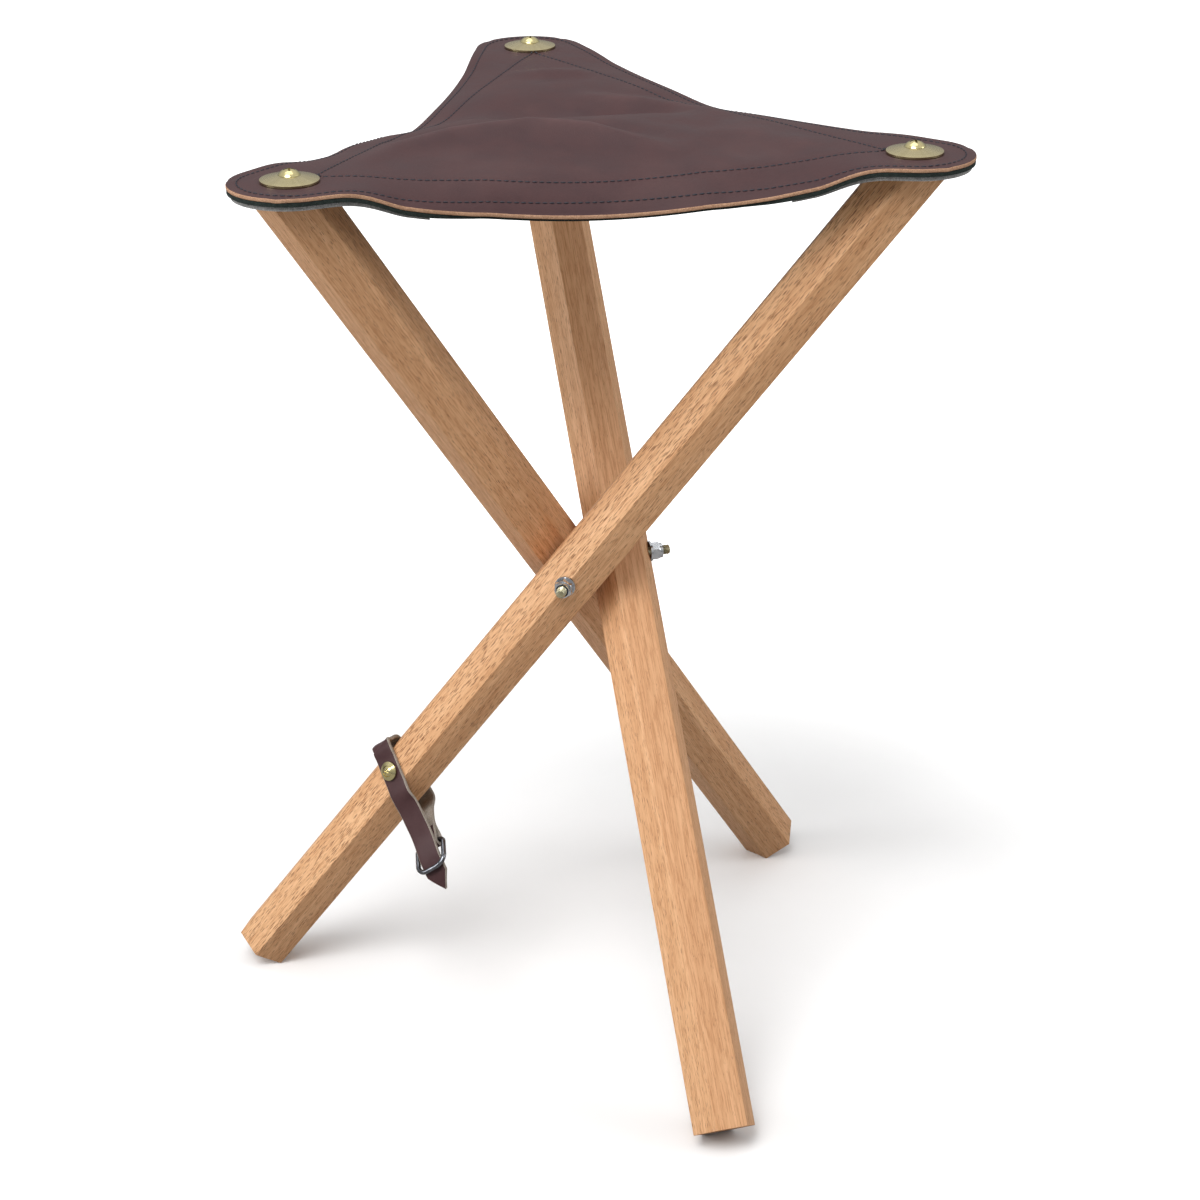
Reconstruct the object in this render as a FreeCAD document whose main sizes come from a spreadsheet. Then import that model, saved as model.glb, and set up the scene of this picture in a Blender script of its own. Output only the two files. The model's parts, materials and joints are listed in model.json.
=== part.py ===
"""Folding stool: three hexagonal beech legs cross on a three-armed bolt and
open until a three-cornered leather seat, screwed to the leg tops, pulls tight.

Millimetres, +Z up, origin on the floor under the middle of the bolt.
A leg is drawn upright in its own frame (z along the leg, x along its bolt arm)
and then leaned over and turned to its place.
"""
import FreeCAD, Part
import math
import os
import re
import Sketcher
from FreeCAD import Placement, Rotation, Vector

doc = FreeCAD.newDocument("FoldingStool")

# Driving sizes: name, value (mm, or degrees where the name says lean, skew or turn), meaning
DRIVING_SIZES = [
    ("leg_top_height", 443.0, "floor to the level cut on the leg tops"),
    ("pivot_height", 234.0, "floor to the bolt"),
    ("leg_lean", 36.8, "degrees between an open leg and upright"),
    ("leg_across_flats", 26.5, "hexagonal leg, flat to flat"),
    ("hub_ball_radius", 3.55, "ball in the middle of the three-way bolt"),
    ("bolt_diameter", 5.0, "arms of the three-way bolt"),
    ("bolt_running_gap", 0.08, "radial play of a leg on its arm"),
    ("hub_ball_gap", 0.25, "ball of the bolt to a leg's inner corner"),
    ("bolt_tip_length", 4.0, "thread showing past the nut"),
    ("bolt_tip_bevel", 0.6, "bevel on the end of an arm"),
    ("bolt_seat_depth", 0.6, "flat pressed into the leg's corner under the washer"),
    ("bolt_washer_diameter", 10.0, "flat washer under a nut"),
    ("bolt_washer_thickness", 1.0, "flat washer under a nut"),
    ("bolt_washer_play", 0.15, "radial gap of a washer on its arm"),
    ("nut_hex_height", 3.8, "hexagonal part of the nut"),
    ("nut_shoulder", 0.3, "flat of the hexagon outside the collar"),
    ("nut_corner_ease", 0.13, "ball that rounds the nut's ends, outside its corners"),
    ("nut_collar_height", 1.6, "round collar that holds the nylon ring"),
    ("nut_collar_wall", 0.57, "round collar"),
    ("nut_thread_gap", 0.03, "radial gap between nut and bolt"),
    ("insert_height", 1.1, "nylon ring"),
    ("insert_wall", 0.57, "nylon ring"),
    ("part_gap", 0.05, "between flat faces that only rest on each other"),
    ("layer_gap", 0.3, "between layers of leather, and leather and metal"),
    ("leather_thickness", 1.9, "seat"),
    ("band_thickness", 1.6, "band sewn under a seat edge"),
    ("patch_thickness", 1.8, "patch under a seat corner"),
    ("lobe_radius", 27.0, "rounded seat corner about its screw"),
    ("side_reach", 8.0, "middle of a seat side, outside the line of the screws"),
    ("band_inset", 14.0, "inner edge of a band, inside the line of the screws"),
    ("patch_length", 44.0, "screw to the inner edge of a corner patch"),
    ("front_droop", 21.0, "fall of the seat's front edge"),
    ("left_droop", 12.0, "fall of the seat's left edge"),
    ("right_droop", 8.0, "fall of the seat's right edge"),
    ("droop_decay", 18.0, "distance over which the fall fades inwards"),
    ("flat_margin", 1.25, "flat seat along a side beyond a corner washer"),
    ("droop_start", 0.14, "share of a side over which the fall sets in"),
    ("ridge_rise", 4.0, "soft ridge behind the front edge"),
    ("ridge_inset", 64.0, "front line of screws to the ridge"),
    ("hollow_depth", 7.0, "hollow between the ridge and the rear corner"),
    ("hollow_inset", 122.0, "front line of screws to the hollow"),
    ("ridge_width", 21.3, "spread of ridge and hollow, front to back"),
    ("ridge_span", 68.2, "spread of ridge and hollow, side to side"),
    ("corner_washer_diameter", 25.5, "dished brass washer"),
    ("corner_washer_rise", 1.9, "height of the dish"),
    ("corner_washer_thickness", 0.9, "brass sheet"),
    ("corner_rim_rise", 0.3, "dish where it leaves the rim"),
    ("corner_head_diameter", 9.8, "round-head corner screw"),
    ("corner_head_height", 2.6, "round-head corner screw"),
    ("corner_shank_diameter", 4.8, "corner screw"),
    ("corner_screw_depth", 15.0, "corner screw below the leg top"),
    ("screw_gap", 0.05, "radial gap of a screw in its wood"),
    ("recess_length", 5.0, "cross recess of a corner screw"),
    ("recess_width", 1.0, "cross recess of a corner screw"),
    ("recess_depth", 1.2, "cross recess of a corner screw"),
    ("strap_drop", 143.5, "bolt to the strap's screw, down the right leg"),
    ("strap_skew", 18.0, "degrees between the strap's plane and a square wrap"),
    ("strap_width", 12.0, "strap"),
    ("strap_thickness", 1.8, "strap"),
    ("strap_point_length", 9.0, "pointed end of the strap"),
    ("strap_tip_width", 0.5, "blunt tip of the point"),
    ("strap_drift", -6.0, "shift of the strap's back stretch along the leg"),
    ("strap_bulge", 0.45, "extra room where the strap bends round the leg's back edge"),
    ("strap_recess_length", 3.0, "cross recess of the strap screw"),
    ("strap_recess_width", 0.7, "cross recess of the strap screw"),
    ("cup_diameter", 9.6, "cup washer on the strap"),
    ("cup_rise", 1.9, "cup washer on the strap"),
    ("strap_head_diameter", 5.6, "strap screw"),
    ("strap_head_height", 1.3, "dome of the strap screw"),
    ("strap_shank_diameter", 2.9, "strap screw"),
    ("strap_screw_depth", 11.0, "strap screw in the leg"),
    ("ring_turn", -30.0, "degrees, from straight out of the leg to the way the ring hangs"),
    ("ring_wire_diameter", 2.5, "wire of the strap's ring"),
    ("ring_bar_distance", 15.5, "bar to bar across the ring"),
    ("ring_front_radius", 5.5, "rounded front corners of the ring"),
    ("ring_rear_radius", 2.4, "tighter corners beside the bar that holds the strap"),
]

# Sizes that follow from the driving ones, as sheet formulas
DERIVED_SIZES = [
    ("leg_corner_radius", "leg_across_flats / sqrt(3)"),
    ("leg_rise", "(leg_top_height - pivot_height) / cos(leg_lean * 1 deg)"),
    ("leg_drop", "(pivot_height - leg_across_flats / 2 * sin(leg_lean * 1 deg)) / cos(leg_lean * 1 deg)"),
    ("leg_spare", "leg_across_flats"),
    ("pivot_offset", "leg_corner_radius + hub_ball_radius + hub_ball_gap"),
    ("bolt_seat_distance", "pivot_offset + leg_corner_radius - bolt_seat_depth"),
    ("bolt_washer_bore", "bolt_diameter + 2 * bolt_washer_play"),
    ("bolt_nut_distance", "bolt_seat_distance + bolt_washer_thickness + 2 * part_gap"),
    ("insert_diameter", "bolt_diameter + 2 * (nut_thread_gap + insert_wall)"),
    ("nut_collar_diameter", "insert_diameter + 2 * (nut_thread_gap + nut_collar_wall)"),
    ("nut_across_flats", "nut_collar_diameter + 2 * nut_shoulder"),
    ("nut_height", "nut_hex_height + nut_collar_height"),
    ("arm_length", "bolt_nut_distance + nut_height + bolt_tip_length"),
    ("leather_top", "leg_top_height + 3 * layer_gap + patch_thickness + band_thickness + leather_thickness"),
    ("corner_washer_height", "leather_top + layer_gap"),
    ("corner_head_seat", "corner_washer_rise + corner_washer_thickness + part_gap"),
    ("corner_screw_reach", "corner_washer_height + corner_head_seat - leg_top_height + corner_screw_depth"),
    ("flat_length", "corner_washer_diameter / 2 + flat_margin"),
    ("strap_lift", "2 * layer_gap + strap_thickness"),
    ("strap_head_seat", "cup_rise - strap_head_height / 4"),
    ("strap_screw_reach", "strap_lift + strap_head_seat + strap_screw_depth"),
]


def make_sheet():
    """The sheet that holds every size, and the numbers read back from it."""
    sheet = doc.addObject("Spreadsheet::Sheet", "Sizes")
    row = 1
    for name, value, meaning in DRIVING_SIZES:
        sheet.set(f"A{row}", name)
        sheet.set(f"B{row}", str(value))
        sheet.set(f"C{row}", meaning)
        sheet.setAlias(f"B{row}", name)
        row += 1
    for name, formula in DERIVED_SIZES:
        sheet.set(f"A{row}", name)
        sheet.set(f"B{row}", "=" + formula)
        sheet.setAlias(f"B{row}", name)
        row += 1
    doc.recompute()
    names = [entry[0] for entry in DRIVING_SIZES + DERIVED_SIZES]
    return {name: float(getattr(sheet, name)) for name in names}


SIZE = make_sheet()
LEAN = SIZE["leg_lean"]
LEAN_RADIANS = math.radians(LEAN)

# The seat's corners lie on a circle; each leg's arm points away from its own corner
CORNER_RUN = (SIZE["leg_top_height"] - SIZE["pivot_height"]) * math.tan(LEAN_RADIANS)
CORNER_RADIUS = math.hypot(CORNER_RUN, SIZE["pivot_offset"])
ARM_BEHIND_CORNER = math.degrees(math.atan2(CORNER_RUN, SIZE["pivot_offset"]))
CORNER_TURN = {"left": 210.0, "right": -30.0, "rear": 90.0}
SIDES = ("left", "right", "rear")

nodes = []


def sheet_formula(text):
    """Turn a formula of bare size names into one that reads the sheet."""
    return re.sub(r"[a-z_]+", lambda word: "Sizes." + word[0] if word[0] in SIZE else word[0], text)


def bind(thing, **formulas):
    """Tie properties of a document object to the sheet; a double underscore stands for a dot."""
    for prop, formula in formulas.items():
        thing.setExpression(prop.replace("__", "."), sheet_formula(formula))


def polar(radius, turn, height=0.0):
    """A point at a distance and a turn (degrees) about Z."""
    angle = math.radians(turn)
    return Vector(radius * math.cos(angle), radius * math.sin(angle), height)


def cylinder(name, radius, height):
    tool = doc.addObject("Part::Cylinder", name)
    bind(tool, Radius=radius, Height=height)
    return tool


def cut(name, base, tools):
    """Subtract one or more tools from a base."""
    result = doc.addObject("Part::Cut", name)
    result.Base = base
    if len(tools) == 1:
        result.Tool = tools[0]
    else:
        joined = doc.addObject("Part::MultiFuse", name + "_tools")
        joined.Shapes = tools
        result.Tool = joined
    return result


def finish_node(thing, label, placement=None):
    """Name a finished piece and put it in its place."""
    thing.Label = label
    if placement is not None:
        thing.Placement = placement
    nodes.append(thing)
    return thing


def turned_body(name, profile):
    """A solid of revolution about Z from (radius, height) formulas, tied to the sheet."""
    body = doc.addObject("PartDesign::Body", name)
    sketch = body.newObject("Sketcher::SketchObject", name + "_profile")
    plane = [part for part in body.Origin.OriginFeatures if part.Role == "XZ_Plane"][0]
    sketch.AttachmentSupport = [(plane, "")]
    sketch.MapMode = "FlatFace"
    corners = []
    for radius, height in profile:
        corners.append([float(sketch.evalExpression(sheet_formula(text))) for text in (radius, height)])
    count = len(corners)
    for index in range(count):
        start = corners[index]
        end = corners[(index + 1) % count]
        sketch.addGeometry(Part.LineSegment(Vector(start[0], start[1], 0), Vector(end[0], end[1], 0)))
    for index in range(count):
        sketch.addConstraint(Sketcher.Constraint("Coincident", index, 2, (index + 1) % count, 1))
    for index, (radius, height) in enumerate(profile):
        for kind, formula, axis in (("DistanceX", radius, -2), ("DistanceY", height, -1)):
            if formula == "0":
                sketch.addConstraint(Sketcher.Constraint("PointOnObject", index, 1, axis))
                continue
            value = corners[index][0 if kind == "DistanceX" else 1]
            number = sketch.addConstraint(Sketcher.Constraint(kind, -1, 1, index, 1, value))
            sketch.setExpression(f"Constraints[{number}]", sheet_formula(formula))
    turn = body.newObject("PartDesign::Revolution", name + "_turned")
    turn.Profile = sketch
    turn.ReferenceAxis = (sketch, ["V_Axis"])
    turn.Angle = 360.0
    return body


def dome(name, radius, height):
    """The round top of a screw: the cap of a sphere, flat side at z = 0."""
    cap = doc.addObject("Part::Sphere", name)
    ball = f"( ( {radius} ) ^ 2 + ( {height} ) ^ 2 ) / ( 2 * ( {height} ) )"
    bind(cap, Radius=ball, Angle1=f"asin( 1 - ( {height} ) / ( {ball} ) )")
    bind(cap, Placement__Base__z=f"{height} - {ball}")
    return cap


# Where things go


def arm_turn(side):
    """Direction of the bolt arm that carries a leg."""
    return CORNER_TURN[side] - ARM_BEHIND_CORNER


def leg_placement(side):
    """From a leg's own upright frame to its leaning place."""
    turn = Rotation(Vector(0, 0, 1), arm_turn(side)) * Rotation(Vector(1, 0, 0), -LEAN)
    return Placement(polar(SIZE["pivot_offset"], arm_turn(side), SIZE["pivot_height"]), turn)


def arm_placement(side, distance):
    """A frame on a bolt arm, z outwards along the arm."""
    turn = Rotation(Vector(0, 0, 1), arm_turn(side)) * Rotation(Vector(0, 1, 0), 90)
    return Placement(polar(distance, arm_turn(side), SIZE["pivot_height"]), turn)


def corner_placement(side, height):
    """A level frame over a leg's top."""
    return Placement(polar(CORNER_RADIUS, CORNER_TURN[side], height), Rotation())


# Strap screw: middle of the right leg's upper front face, square to it
STRAP_FACE = Vector(math.cos(math.radians(30)), -math.sin(math.radians(30)), 0)
STRAP_SCREW_POINT = STRAP_FACE * (SIZE["leg_across_flats"] / 2) + Vector(0, 0, -SIZE["strap_drop"])


def strap_screw_placement(lift):
    """A frame on the strap's screw, z out of the leg, in world space."""
    local = Placement(STRAP_SCREW_POINT + STRAP_FACE * lift, Rotation(Vector(0, 0, 1), STRAP_FACE))
    return leg_placement("right") * local


# Legs


def make_leg(side):
    name = side + "_leg"
    stick = doc.addObject("Part::Prism", name + "_stick")
    stick.Polygon = 6
    bind(stick, Circumradius="leg_corner_radius", Height="leg_drop + leg_rise + leg_spare")
    bind(stick, Placement__Base__z="0 - leg_drop")

    top_cut = cylinder(name + "_top_cut", "2 * leg_across_flats", "3 * leg_spare")
    top_cut.Placement.Rotation = Rotation(Vector(1, 0, 0), LEAN)
    bind(top_cut, Placement__Base__z="leg_rise")

    bolt_hole = cylinder(name + "_bolt_hole", "bolt_diameter / 2 + bolt_running_gap", "4 * leg_corner_radius")
    bolt_hole.Placement.Rotation = Rotation(Vector(0, 1, 0), 90)
    bind(bolt_hole, Placement__Base__x="0 - 2 * leg_corner_radius")

    bolt_seat = cylinder(name + "_bolt_seat", "bolt_washer_diameter / 2 + layer_gap", "leg_corner_radius")
    bolt_seat.Placement.Rotation = Rotation(Vector(0, 1, 0), 90)
    bind(bolt_seat, Placement__Base__x="leg_corner_radius - bolt_seat_depth")

    hole_radius = "corner_shank_diameter / 2 + screw_gap"
    screw_hole = cylinder(name + "_screw_hole", hole_radius, "2 * corner_screw_depth")
    screw_hole.Placement.Rotation = Rotation(Vector(1, 0, 0), LEAN)
    depth = "( corner_screw_depth + layer_gap )"
    bind(screw_hole, Placement__Base__y=f"{depth} * sin( leg_lean * 1 deg )")
    bind(screw_hole, Placement__Base__z=f"leg_rise - {depth} * cos( leg_lean * 1 deg )")

    tools = [top_cut, bolt_hole, bolt_seat, screw_hole]
    if side == "right":
        hole_radius = "strap_shank_diameter / 2 + screw_gap"
        strap_hole = cylinder(name + "_strap_hole", hole_radius, "2 * strap_screw_depth")
        start = STRAP_SCREW_POINT - STRAP_FACE * (SIZE["strap_screw_depth"] + SIZE["layer_gap"])
        strap_hole.Placement = Placement(start, Rotation(Vector(0, 0, 1), STRAP_FACE))
        tools.append(strap_hole)
    finish_node(cut(name, stick, tools), name, leg_placement(side))


# Three-way bolt, its washers and locking nuts


def make_bolt():
    arms = []
    for side in SIDES:
        arm = turned_body("bolt_arm_" + side, [
            ("0", "0"),
            ("bolt_diameter / 2", "0"),
            ("bolt_diameter / 2", "arm_length - bolt_tip_bevel"),
            ("bolt_diameter / 2 - bolt_tip_bevel", "arm_length"),
            ("0", "arm_length"),
        ])
        arm.Placement = arm_placement(side, 0.0)
        arms.append(arm)
    ball = doc.addObject("Part::Sphere", "bolt_ball")
    bind(ball, Radius="hub_ball_radius", Placement__Base__z="pivot_height")
    bolt = doc.addObject("Part::MultiFuse", "three_way_bolt")
    bolt.Shapes = arms + [ball]
    finish_node(bolt, "three_way_bolt")


def make_bolt_washer(side):
    washer = turned_body(side + "_bolt_washer", [
        ("bolt_washer_bore / 2", "0"),
        ("bolt_washer_diameter / 2", "0"),
        ("bolt_washer_diameter / 2", "bolt_washer_thickness"),
        ("bolt_washer_bore / 2", "bolt_washer_thickness"),
    ])
    distance = SIZE["bolt_seat_distance"] + SIZE["part_gap"]
    finish_node(washer, side + "_bolt_washer", arm_placement(side, distance))


def make_nut(side):
    """Hexagon with rounded corners, a collar on top and a groove for the nylon ring."""
    name = side + "_lock_nut"
    hexagon = doc.addObject("Part::Prism", name + "_hexagon")
    hexagon.Polygon = 6
    bind(hexagon, Circumradius="nut_across_flats / sqrt( 3 )", Height="nut_hex_height")
    rounding = doc.addObject("Part::Sphere", name + "_rounding")
    bind(rounding, Radius="nut_across_flats / sqrt( 3 ) + nut_corner_ease")
    bind(rounding, Placement__Base__z="nut_hex_height / 2")
    rounded = doc.addObject("Part::Common", name + "_rounded")
    rounded.Base = hexagon
    rounded.Tool = rounding
    collar = cylinder(name + "_collar", "nut_collar_diameter / 2", "nut_height")
    blank = doc.addObject("Part::MultiFuse", name + "_blank")
    blank.Shapes = [rounded, collar]
    bore = cylinder(name + "_bore", "bolt_diameter / 2 + nut_thread_gap", "2 * nut_height")
    groove = cylinder(name + "_groove", "insert_diameter / 2 + nut_thread_gap", "nut_height")
    bind(groove, Placement__Base__z="nut_height - insert_height - part_gap")
    finish_node(cut(name, blank, [bore, groove]), name, arm_placement(side, SIZE["bolt_nut_distance"]))


def make_insert(side):
    ring = turned_body(side + "_nut_insert", [
        ("bolt_diameter / 2 + nut_thread_gap", "0"),
        ("insert_diameter / 2", "0"),
        ("insert_diameter / 2", "insert_height"),
        ("bolt_diameter / 2 + nut_thread_gap", "insert_height"),
    ])
    distance = SIZE["bolt_nut_distance"] + SIZE["nut_height"] - SIZE["insert_height"]
    finish_node(ring, side + "_nut_insert", arm_placement(side, distance))


# Seat corners: dished washer and round-head screw


def make_corner_washer(side):
    washer = turned_body(side + "_corner_washer", [
        ("corner_shank_diameter / 2 + layer_gap", "corner_washer_rise"),
        ("corner_head_diameter / 2", "corner_washer_rise"),
        ("corner_washer_diameter / 2 - 2 * corner_washer_thickness", "0"),
        ("corner_washer_diameter / 2", "0"),
        ("corner_washer_diameter / 2", "corner_washer_thickness"),
        ("corner_washer_diameter / 2 - corner_washer_thickness", "corner_washer_thickness + corner_rim_rise"),
        ("corner_head_diameter / 2", "corner_washer_rise + corner_washer_thickness"),
        ("corner_shank_diameter / 2 + layer_gap", "corner_washer_rise + corner_washer_thickness"),
    ])
    finish_node(washer, side + "_corner_washer", corner_placement(side, SIZE["corner_washer_height"]))


def cross_recess(name, top, length, width, depth):
    """Two crossed bars that sink a cross into a screw head, centred on its axis."""
    bars = []
    for index, (along, across) in enumerate(((length, width), (width, length))):
        bar = doc.addObject("Part::Box", f"{name}_bar_{index + 1}")
        bind(bar, Length=along, Width=across, Height=f"2 * ( {depth} )")
        bind(bar, Placement__Base__x=f"0 - ( {along} ) / 2", Placement__Base__y=f"0 - ( {across} ) / 2")
        bind(bar, Placement__Base__z=f"{top} - {depth}")
        bars.append(bar)
    return bars


def make_corner_screw(side):
    name = side + "_corner_screw"
    head = dome(name + "_head", "corner_head_diameter / 2", "corner_head_height")
    # the shank runs a little way into the head, so that the two fuse
    shank_length = "corner_screw_reach + corner_head_height / 4"
    shank = turned_body(name + "_shank", [
        ("0", "0"),
        ("corner_shank_diameter / 2", "corner_shank_diameter / 2"),
        ("corner_shank_diameter / 2", shank_length),
        ("0", shank_length),
    ])
    shank.Placement = Placement(Vector(0, 0, -SIZE["corner_screw_reach"]), Rotation())
    blank = doc.addObject("Part::MultiFuse", name + "_blank")
    blank.Shapes = [head, shank]
    bars = cross_recess(name, "corner_head_height", "recess_length", "recess_width", "recess_depth")
    height = SIZE["corner_washer_height"] + SIZE["corner_head_seat"]
    finish_node(cut(name, blank, bars), name, corner_placement(side, height))


# Seat: one sagging surface shared by the leather, the edge bands and the corner patches


SEAT_GRID_STEPS = 30
# Each side of the seat: the corners it runs between, and the size of its fall
SEAT_SIDES = {
    "front": ("left", "right", "front_droop"),
    "right": ("right", "rear", "right_droop"),
    "left": ("rear", "left", "left_droop"),
}


def smooth_step(value):
    """0 below 0, 1 above 1, a smooth rise between."""
    inside = min(1.0, max(0.0, value))
    return inside * inside * (3 - 2 * inside)


def side_frame(side):
    """Start, unit direction, length and inward unit normal of a line of screws."""
    first, second, droop = SEAT_SIDES[side]
    start = polar(CORNER_RADIUS, CORNER_TURN[first])
    end = polar(CORNER_RADIUS, CORNER_TURN[second])
    chord = end - start
    along = Vector(chord).normalize()
    inward = Vector(-along.y, along.x, 0)
    return start, along, chord.Length, inward


def side_place(side, point):
    """Distance along a line of screws, its length, and the distance inside it."""
    start, along, length, inward = side_frame(side)
    offset = point - start
    return offset.dot(along), length, offset.dot(inward)


def side_radius(length):
    """Radius of a hollow side that runs smoothly into the lobes at both ends."""
    reach = SIZE["side_reach"]
    lobe = SIZE["lobe_radius"]
    return (reach ** 2 + (length / 2) ** 2 - lobe ** 2) / (2 * (lobe - reach))


def seat_form(x, y):
    """Height of the seat above the plane of its corners."""
    point = Vector(x, y, 0)
    height = 0.0
    for side, (first, second, droop) in SEAT_SIDES.items():
        along, length, inside = side_place(side, point)
        share = min(1.0, max(0.0, (along - SIZE["flat_length"]) / (length - 2 * SIZE["flat_length"])))
        ends = smooth_step(min(share, 1 - share) / SIZE["droop_start"])
        outside = SIZE["side_reach"] + (along - length / 2) ** 2 / (2 * side_radius(length))
        fall = SIZE[droop] * math.sin(math.pi * share) * ends
        height -= fall * math.exp(-(inside + outside) / SIZE["droop_decay"])
    along, length, inside = side_place("front", point)
    sideways = math.exp(-((along - length / 2) / SIZE["ridge_span"]) ** 2)
    from_ridge = (inside - SIZE["ridge_inset"]) / SIZE["ridge_width"]
    from_hollow = (inside - SIZE["hollow_inset"]) / SIZE["ridge_width"]
    height += SIZE["ridge_rise"] * sideways * math.exp(-from_ridge ** 2)
    height -= SIZE["hollow_depth"] * sideways * math.exp(-from_hollow ** 2)
    return height


def seat_layer(top, thickness):
    """A sheet of leather that follows the seat, its flat corners at the given height."""
    edge = CORNER_RADIUS + SIZE["lobe_radius"]
    reach = edge + SIZE["lobe_radius"]
    lowest = -1.5 * SIZE["front_droop"]
    places = [reach * (2 * step / SEAT_GRID_STEPS - 1) for step in range(SEAT_GRID_STEPS + 1)]
    grid = []
    for x in places:
        line = []
        for y in places:
            # past the seat's edge the fall stays near its edge value
            pull = edge / max(edge, math.hypot(x, y))
            height = max(lowest, seat_form(x * pull, y * pull))
            line.append(Vector(x, y, top - thickness + height))
        grid.append(line)
    surface = Part.BSplineSurface()
    surface.interpolate(grid)
    return surface.toShape().extrude(Vector(0, 0, thickness))


def seat_outline():
    """Prism over the seat's outline: round lobes joined by hollow sides."""
    lobe = SIZE["lobe_radius"]
    edges = []
    for side in SEAT_SIDES:
        start, along, length, inward = side_frame(side)
        half = length / 2
        reach = SIZE["side_reach"]
        middle = start + along * half
        centre = middle - inward * (side_radius(length) + reach)
        first_touch = start + (centre - start).normalize() * lobe
        end = start + along * length
        second_touch = end + (centre - end).normalize() * lobe
        edges.append(Part.Arc(first_touch, middle - inward * reach, second_touch).toShape())
        corner = SEAT_SIDES[side][1]
        next_side = [name for name in SEAT_SIDES if SEAT_SIDES[name][0] == corner][0]
        next_start, next_along, next_length, next_inward = side_frame(next_side)
        next_centre = next_start + next_along * half - next_inward * (side_radius(length) + reach)
        next_touch = end + (next_centre - end).normalize() * lobe
        tip = end + Vector(end).normalize() * lobe
        edges.append(Part.Arc(second_touch, tip, next_touch).toShape())
    face = Part.Face(Part.Wire(edges))
    face.translate(Vector(0, 0, SIZE["leg_top_height"] - 4 * SIZE["front_droop"]))
    return face.extrude(Vector(0, 0, 8 * SIZE["front_droop"]))


def column(points):
    """A tall prism over a polygon, used to trim the seat's layers."""
    low = SIZE["leg_top_height"] - 4 * SIZE["front_droop"]
    corners = [Vector(point.x, point.y, low) for point in points]
    face = Part.Face(Part.makePolygon(corners + corners[:1]))
    return face.extrude(Vector(0, 0, 8 * SIZE["front_droop"]))


def screw_clearances():
    """Upright cylinders that clear the corner screws through the layers."""
    radius = SIZE["corner_shank_diameter"] / 2 + SIZE["layer_gap"]
    low = SIZE["leg_top_height"] - SIZE["lobe_radius"]
    holes = []
    for side in SIDES:
        foot = polar(CORNER_RADIUS, CORNER_TURN[side], low)
        holes.append(Part.makeCylinder(radius, 2 * SIZE["lobe_radius"], foot))
    return holes[0].multiFuse(holes[1:])


def add_shape(label, shape):
    """A piece that has no simpler feature: store its shape."""
    solid = shape.Solids[0] if len(shape.Solids) == 1 else shape
    thing = doc.addObject("Part::Feature", label)
    thing.Shape = solid
    finish_node(thing, label)


def make_seat():
    outline = seat_outline()
    holes = screw_clearances()
    leather_top = SIZE["leather_top"]
    band_top = leather_top - SIZE["leather_thickness"] - SIZE["layer_gap"]
    patch_top = band_top - SIZE["band_thickness"] - SIZE["layer_gap"]

    leather = seat_layer(leather_top, SIZE["leather_thickness"])
    add_shape("seat_leather", leather.common(outline).cut(holes))

    band_layer = seat_layer(band_top, SIZE["band_thickness"]).common(outline).cut(holes)
    for side in SEAT_SIDES:
        start, along, length, inward = side_frame(side)
        end = start + along * length
        inner = 2 * SIZE["band_inset"]
        outer = 2 * SIZE["lobe_radius"]
        clear = along * SIZE["layer_gap"]
        from_middle = Vector(start).normalize()
        to_middle = Vector(end).normalize()
        strip = column([
            start - from_middle * inner + clear,
            start + from_middle * outer + clear,
            end + to_middle * outer - clear,
            end - to_middle * inner - clear,
        ])
        add_shape(side + "_edge_band", band_layer.common(strip))

    patch_layer = seat_layer(patch_top, SIZE["patch_thickness"]).common(outline).cut(holes)
    for side in SIDES:
        corner = polar(CORNER_RADIUS, CORNER_TURN[side])
        outward = Vector(corner).normalize()
        across = Vector(-outward.y, outward.x, 0) * (3 * SIZE["patch_length"])
        inner = corner - outward * SIZE["patch_length"]
        outer = corner + outward * (2 * SIZE["lobe_radius"])
        trim = column([inner - across, outer - across, outer + across, inner + across])
        add_shape(side + "_corner_patch", patch_layer.common(trim))


# Strap round the right leg, with its screw, cup washer and ring


STRAP_STEPS = 84
# Which way the strap's smooth side looks where it lies on the leg
LEG_FACES = {
    "upper_front": STRAP_FACE,
    "upper_back": Vector(-STRAP_FACE.x, STRAP_FACE.y, 0),
    "lower_back": Vector(-STRAP_FACE.x, -STRAP_FACE.y, 0),
    "back": Vector(-1, 0, 0),
}
# Free stretches of the strap: millimetres out and up from a corner of the leg's section
POINTED_TAIL = [
    (22.2, -52.6),
    (21.6, -46.8),
    (19.6, -41.0),
    (16.6, -35.0),
    (11.6, -27.6),
    (7.2, -18.0),
    (4.4, -9.4),
]
RING_STEP = (15.95, -36.15)
ARCH_FRONT = (-4.9, 5.6)
ARCH_BACK = (3.0, 4.6)
RING_TAIL = [(0.2, -3.5), (7.0, -5.8), (15.6, -8.1), (25.2, -13.2)]
RING_BENDS = (-146, -101, -56, -11, 34)
RING_SEAM = [(-2.5, 1.9), (-6.3, 5.4)]
# Shares of the back stretch's shift along the leg, from the arch to the ring
DRIFT_SHARES = (0.1, 0.3, 0.45, 0.6, 0.75, 0.9, 1.0, 1.0, 1.0, 1.0, 1.0, 0.9, 0.6, 0.2)
# Stretches that lie on the leg: shares of the way along a face, from edge to edge
FRONT_SHARES = (-0.33, 0.0, 0.5, 0.98, 1.32)
ARCH_END_SHARE = -0.15
BACK_SHARES = (0.13, 0.46, 0.74)
LOWER_SHARES = (0.26, 0.54, 0.87)


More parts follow.
